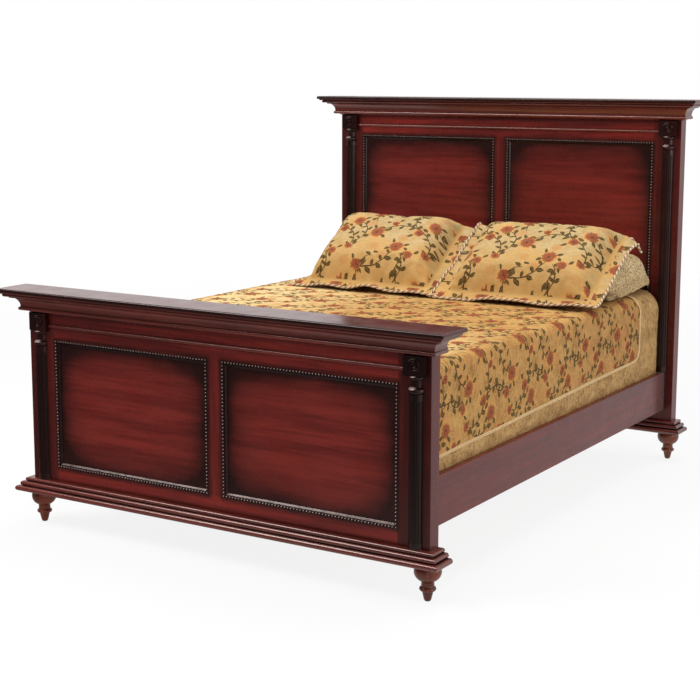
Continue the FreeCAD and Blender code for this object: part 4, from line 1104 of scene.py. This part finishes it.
def make_shams():
    """Each sham, with a rope that stands a little proud along its rim."""
    threads = [rope_material(f"rope_thread_{n}", c) for n, c in enumerate(ROPE_COLOURS, start=1)]
    for side, seed, width, folds, shift, droop, skew in (
            ("left", 21, 0.705, (58, 12, 66), 0.017, 0.0, 0.05),
            ("right", 22, 0.735, (-14, 8, 58), -0.020, 0.050, 0.0)):
        form = Cushion((width, 0.600), 0.054, (0.088, 0.040), 31, folds, seed, wave=0.018, drawn=0.88,
                       squareness=(5.5, 3.2), waist=0.016, droop=droop, lift=0.020, skew=skew)
        path = make_cushion("sham", side, form, (shift, 0.0009, 0.005), 0.0115, sham_material(form),
                            3.5, 0.018)
        path = [point + Vector((0, 0, 0.0030)) for point in path]
        rope(f"sham_{side}_rope", path, f"{side}_sham", threads, 0.0026, 0.026)


# ------------------------------------------------------------------ rope and piping
ROPE_COLOURS = ((0.780, 0.660, 0.440), (0.210, 0.060, 0.040), (0.600, 0.420, 0.210))


def rope_material(name, colour):
    material, tree, shader = new_material(name, {"Roughness": 0.55, "Sheen Weight": 0.2})
    place = place_of(tree)
    tone = place.noise(500, 2, 0.6).ramp(0.3, 0.7, 0.75, 1.0)
    paint(tree, shader, tone.blend(tuple(c * 0.45 for c in colour), colour))
    relief(tree, shader, place.noise(1500, 1), 0.0006, 0.5)
    return material


def piping_material():
    material, tree, shader = new_material("piping_cloth", {"Roughness": 0.7, "Sheen Weight": 0.15})
    place = place_of(tree)
    tone = place.noise(260, 3, 0.6).ramp(0.3, 0.7)
    paint(tree, shader, tone.blend((0.520, 0.320, 0.130), (0.780, 0.560, 0.280)))
    relief(tree, shader, place.noise(900, 2, 0.6), 0.0008, 0.6)
    return material


def unit(vectors):
    return vectors / np.linalg.norm(vectors, axis=-1, keepdims=True)


def round_points(middle, radius, side, up, sections):
    """Points of a circle round a middle."""
    turns = [2 * math.pi * k / sections for k in range(sections)]
    return [middle + radius * (math.cos(turn) * side + math.sin(turn) * up) for turn in turns]


def rope(name, path, body, threads, radius, lay_length):
    """Strands twisted round a closed path, one for each thread's material."""
    path = np.array(path)
    lengths = np.linalg.norm(np.roll(path, -1, axis=0) - path, axis=1)
    total = lengths.sum()
    marks = np.concatenate([[0], np.cumsum(lengths)])
    count = int(total / 0.0030)
    closed = np.vstack([path, path[:1]])
    where = np.linspace(0, total, count, endpoint=False)
    centre = np.stack([np.interp(where, marks, closed[:, k]) for k in range(3)], axis=1)
    for _ in range(3):
        centre = (np.roll(centre, 1, axis=0) + 2 * centre + np.roll(centre, -1, axis=0)) / 4
    ahead = unit(np.roll(centre, -1, axis=0) - np.roll(centre, 1, axis=0))
    side = unit(np.cross(ahead, (0.0, 0.0, 1.0)))
    up = np.cross(side, ahead)
    sections = 6
    for number, thread in enumerate(threads):
        twist = 2 * np.pi * (round(total / lay_length) * where / total + number / len(threads))
        middle = centre + radius * (np.cos(twist)[:, None] * side + np.sin(twist)[:, None] * up)
        points = []
        for step in range(count):
            points += round_points(middle[step], radius * 1.05, side[step], up[step], sections)
        mesh_object(f"{name}_strand_{number + 1}", points, quads(count, sections, ring=True, loop=True),
                    thread, body)


def tube(name, path, radius, material, body):
    """A round cord along an open path."""
    path = np.array(path)
    sections = 8
    points = []
    for spot, way in zip(path, unit(np.gradient(path, axis=0))):
        side = unit(np.cross(way, (0.30, 0.20, 0.93)))
        points += round_points(spot, radius, side, np.cross(side, way), sections)
    faces = quads(len(path), sections, ring=True) + end_caps(len(path), sections)
    return mesh_object(name, points, faces, material, body)


# ------------------------------------------------------------------- the coverlet
COVERLET_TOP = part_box("coverlet")[1].z
CLOTH_TOP = COVERLET_TOP - 0.0006
MATTRESS_LOW, MATTRESS_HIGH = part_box("mattress")
HALF_WIDE = MATTRESS_HIGH.x + 0.0052
SLOW_RIPPLE = smooth_noise(7, 6)
FAST_RIPPLE = smooth_noise(8, 14)
FOOT_Y = MATTRESS_LOW.y - 0.0052
HEAD_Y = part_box("coverlet")[1].y
FOOT_RADIUS = 0.034
TUCK_Z = 0.322              # how far down the sides reach
PIPING_END = 0.830          # where the piping turns up towards the top
PIPING_TURN = 0.045
PIPING_FOOT = (-0.872, 0.426)       # y and height of the piping near the foot end
PIPING_HEAD_Z = 0.468
ROUND_STEPS = 8
DOWN_STEPS = 34


def shoulder(y):
    """Radius of the coverlet's rounded shoulder, larger towards the head end."""
    return FOOT_RADIUS + 0.056 * clamp((y - 0.35) / 0.65) ** 1.4


def cover_ripple(y, depth, side):
    """How far the hanging cloth stands out from the mattress, in metres."""
    if depth < 0.05:
        return 0.0
    fade = min(1.0, (depth - 0.05) / 0.12) * min(1.0, (COVERLET_TOP - depth - TUCK_Z) / 0.06)
    along = (y + 1) / 2.1 + 0.3 * (side < 0)
    return fade * (-0.0032 + 0.0026 * SLOW_RIPPLE(along + 0.10 * depth) + 0.0012 * FAST_RIPPLE(along))


def side_profile(y):
    """From the edge of the flat top outwards and down: (x, z, distance along the cloth)."""
    radius = shoulder(y)
    flat = HALF_WIDE - radius
    low = CLOTH_TOP - radius
    places = []
    for step in range(ROUND_STEPS + 1):
        turn = math.pi / 2 * step / ROUND_STEPS
        places.append((flat + radius * math.sin(turn), low + radius * math.cos(turn),
                       flat + radius * turn))
    run = flat + radius * math.pi / 2
    for step in range(1, DOWN_STEPS + 1):
        z = low + (TUCK_Z - low) * step / DOWN_STEPS
        places.append((HALF_WIDE, z, run + (low - z)))
    return places


def piping_height(y):
    """How high the piping on the coverlet's side runs."""
    foot_y, foot_z = PIPING_FOOT
    return foot_z + (PIPING_HEAD_Z - foot_z) * (y - foot_y) / (PIPING_END - foot_y)


def field_edge(y):
    """A place along the piping on the flat cloth: (v, u)."""
    return y, HALF_WIDE + (math.pi / 2 - 2) * shoulder(y) + COVERLET_TOP - piping_height(y)


def make_coverlet():
    """One woven cloth over the top, both sides and the foot end."""
    top_steps = 60
    rows = np.linspace(FOOT_Y + FOOT_RADIUS, HEAD_Y, 190)
    points, flat = [], []
    for y in rows:
        right, left = [], []
        for x, z, run in side_profile(y):
            right.append((x + cover_ripple(y, COVERLET_TOP - z, 1), z, run))
            left.append((-x - cover_ripple(y, COVERLET_TOP - z, -1), z, -run))
        inner = right[0][0]
        top = []
        for step in range(1, top_steps):
            x = -inner + 2 * inner * step / top_steps
            dip = 0.0010 * (1 + math.sin(9 * x + 5 * y) * math.cos(7 * y - 4 * x))
            top.append((x, CLOTH_TOP - dip, x))
        line = left[::-1] + top + right
        points += [(x, y, z) for x, z, _ in line]
        flat += [(run, y) for _, _, run in line]
    width = len(line)
    faces = quads(len(rows), width)
    # The foot end turns down over the mattress's edge, between the two sides. Where it meets a
    # side, its faces narrow to triangles, which close the corner.
    side_count = ROUND_STEPS + DOWN_STEPS + 1
    profile = side_profile(FOOT_Y)
    previous = list(range(width))
    for x, z, along in profile[1:]:
        out, run = x - profile[0][0], along - profile[0][2]
        current = list(range(width))
        for column in range(side_count - 1, width - side_count + 1):
            current[column] = len(points)
            points.append((points[column][0], rows[0] - out, min(z, points[column][2])))
            flat.append((flat[column][0], rows[0] - run))
        for column in range(width - 1):
            loop = [previous[column], previous[column + 1], current[column + 1], current[column]]
            distinct = [n for k, n in enumerate(loop) if n != loop[k - 1]]
            if len(distinct) >= 3:
                faces.append(tuple(distinct[::-1]))
        previous = current
    material = coverlet_material(field_edge(FOOT_Y), field_edge(PIPING_END))
    piece = mesh_object("coverlet_sheet", points, faces, material, ROOT)
    add_cloth_map(piece.data, flat)
    thick = piece.modifiers.new("Solidify", "SOLIDIFY")
    thick.thickness = 0.003
    thick.offset = -1
    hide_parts("coverlet")


def piping_route():
    """The piping on a side of the coverlet as (y, z): along, round a corner and up."""
    base = piping_height(PIPING_END)
    middle = (PIPING_END - PIPING_TURN, base + PIPING_TURN)
    route = [(y, piping_height(y)) for y in np.linspace(FOOT_Y + 0.036, middle[0], 110)]
    for step in range(1, 9):
        turn = math.pi / 2 * step / 8
        route.append((middle[0] + PIPING_TURN * math.sin(turn), middle[1] - PIPING_TURN * math.cos(turn)))
    top = COVERLET_TOP - shoulder(PIPING_END) - 0.002
    return np.array(route + [(PIPING_END, z) for z in np.linspace(middle[1], top, 24)[1:]])


def make_piping():
    """The double gold cord between the coverlet's field and its border."""
    material = piping_material()
    route = piping_route()
    ways = unit(np.gradient(route, axis=0))
    shoulder_line = side_profile(PIPING_END)[:ROUND_STEPS + 1][::-1]
    for name, side in (("right", 1), ("left", -1)):
        for row, shift in (("inner", 0.0028), ("outer", -0.0028)):
            spots = []
            for (y, z), (ahead_y, ahead_z) in zip(route, ways):
                y, z = y - ahead_z * shift, z + ahead_y * shift
                x = HALF_WIDE + cover_ripple(y, COVERLET_TOP - z, side) + 0.0002
                spots.append((side * x, y, z))
            spots += [(side * x, PIPING_END - shift, z) for x, z, _ in shoulder_line]
            tube(f"coverlet_piping_{name}_{row}", spots, 0.0029, material, ROOT)


# --------------------------------------------------- mattress and box spring
UNDER_CLOTH = 0.0130        # how far the blocks stay inside the coverlet's sides


def rounded_section(inset, bottom, top_radius, low_radius, half_wide, top):
    """Half of a cross section of a mattress, from the middle of its top to that of its bottom."""
    quarter = [math.pi / 2 * step / 7 for step in range(8)]
    high_x, high_z = half_wide - top_radius, top - top_radius
    low_x, low_z = half_wide - low_radius, bottom + low_radius
    high_reach, low_reach = max(top_radius - inset, 0.001), max(low_radius - inset, 0.001)
    line = [(high_x * share, top - inset) for share in (0.0, 0.4, 0.8)]
    line += [(high_x + high_reach * math.sin(t), high_z + high_reach * math.cos(t)) for t in quarter]
    line += [(half_wide - inset, high_z - (high_z - low_z) * share) for share in (0.25, 0.5, 0.75)]
    line += [(low_x + low_reach * math.cos(t), low_z - low_reach * math.sin(t)) for t in quarter]
    return line + [(low_x * share, bottom + inset) for share in (0.8, 0.4, 0.0)]


def padded_block(name, node, material, end_radius, low_radius, fit):
    """A mattress shape lofted from the foot end to the head end, rounded at both ends.

    fit(y, high) is the top edge's radius, half the width and the top's height at y.
    """
    low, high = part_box(node)
    quarter = [math.pi / 2 * step / 6 for step in range(7)]
    ends = sorted((low.y + end_radius * (1 - math.sin(t)), end_radius * (1 - math.cos(t))) for t in quarter)
    body = [(y, 0.0) for y in np.linspace(low.y + end_radius, high.y - end_radius, 40)[1:-1]]
    rows = ends + body + [(low.y + high.y - y, inset) for y, inset in ends[::-1]]
    points = []
    for y, inset in rows:
        radius, half_wide, top = fit(y, high)
        half = rounded_section(inset, low.z, radius, low_radius, half_wide, top)
        line = half + [(-x, z) for x, z in half[1:-1]][::-1]
        points += [(x, y, z) for x, z in line]
    faces = quads(len(rows), len(line), ring=True) + end_caps(len(rows), len(line))
    piece = mesh_object(name, points, faces, material, ROOT)
    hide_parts(node)
    return piece


def under_cover(y, high):
    """The mattress's top edge follows the coverlet's shoulder, a little inside it."""
    return (shoulder(y) - UNDER_CLOTH * 0.5, min(high.x, HALF_WIDE - UNDER_CLOTH),
            COVERLET_TOP - 0.0066)


def plain_block(y, high):
    return 0.014, HALF_WIDE - UNDER_CLOTH, high.z


def ticking_material(name, light, deep, quilt):
    """White ticking, quilted in diamonds where a quilt size is given."""
    material, tree, shader = new_material(name, {"Roughness": 0.8, "Specular IOR Level": 0.2})
    place = place_of(tree)
    height = place.noise(800, 2, 0.6) * 0.15
    if quilt:
        x, y, z = place.split()
        first = abs(((x + y) / quilt).math("FRACT") - 0.5)
        second = abs(((x - y + z) / quilt).math("FRACT") - 0.5)
        height = height + first.most(second).ramp(0.40, 0.5, 1.0, 0.0)
    paint(tree, shader, place.noise(60, 3, 0.6).ramp(0.3, 0.7).blend(deep, light))
    relief(tree, shader, height, 0.004 if quilt else 0.001, 0.6)
    return material


def make_mattress():
    quilted = ticking_material("mattress_ticking", (0.78, 0.77, 0.73), (0.66, 0.65, 0.61), 0.075)
    mattress = padded_block("mattress_quilted", "mattress", quilted,
                            0.036, 0.030, under_cover)
    plain = ticking_material("box_spring_cloth", (0.70, 0.67, 0.60), (0.60, 0.57, 0.50), 0)
    box = padded_block("box_spring_covered", "box_spring", plain,
                       0.030, 0.012, plain_block)


# --------------------------------------------------------------- build everything
make_camera()
make_world()
make_floor()
make_lights()
boards = [Board("footboard"), Board("headboard")]
dress_nodes(boards)
moulding_finish = dark_wood("panel_edge_wood", "x", 40, 0.0, 0.30, 0.5)
pearl_finish = pearl_wood()
for board in boards:
    for side in SIDES:
        panel_moulding(board, side, moulding_finish, pearl_finish)
make_mattress()
make_coverlet()
make_piping()
make_pillows()
make_shams()

bpy.context.scene.view_settings.view_transform = "Standard"
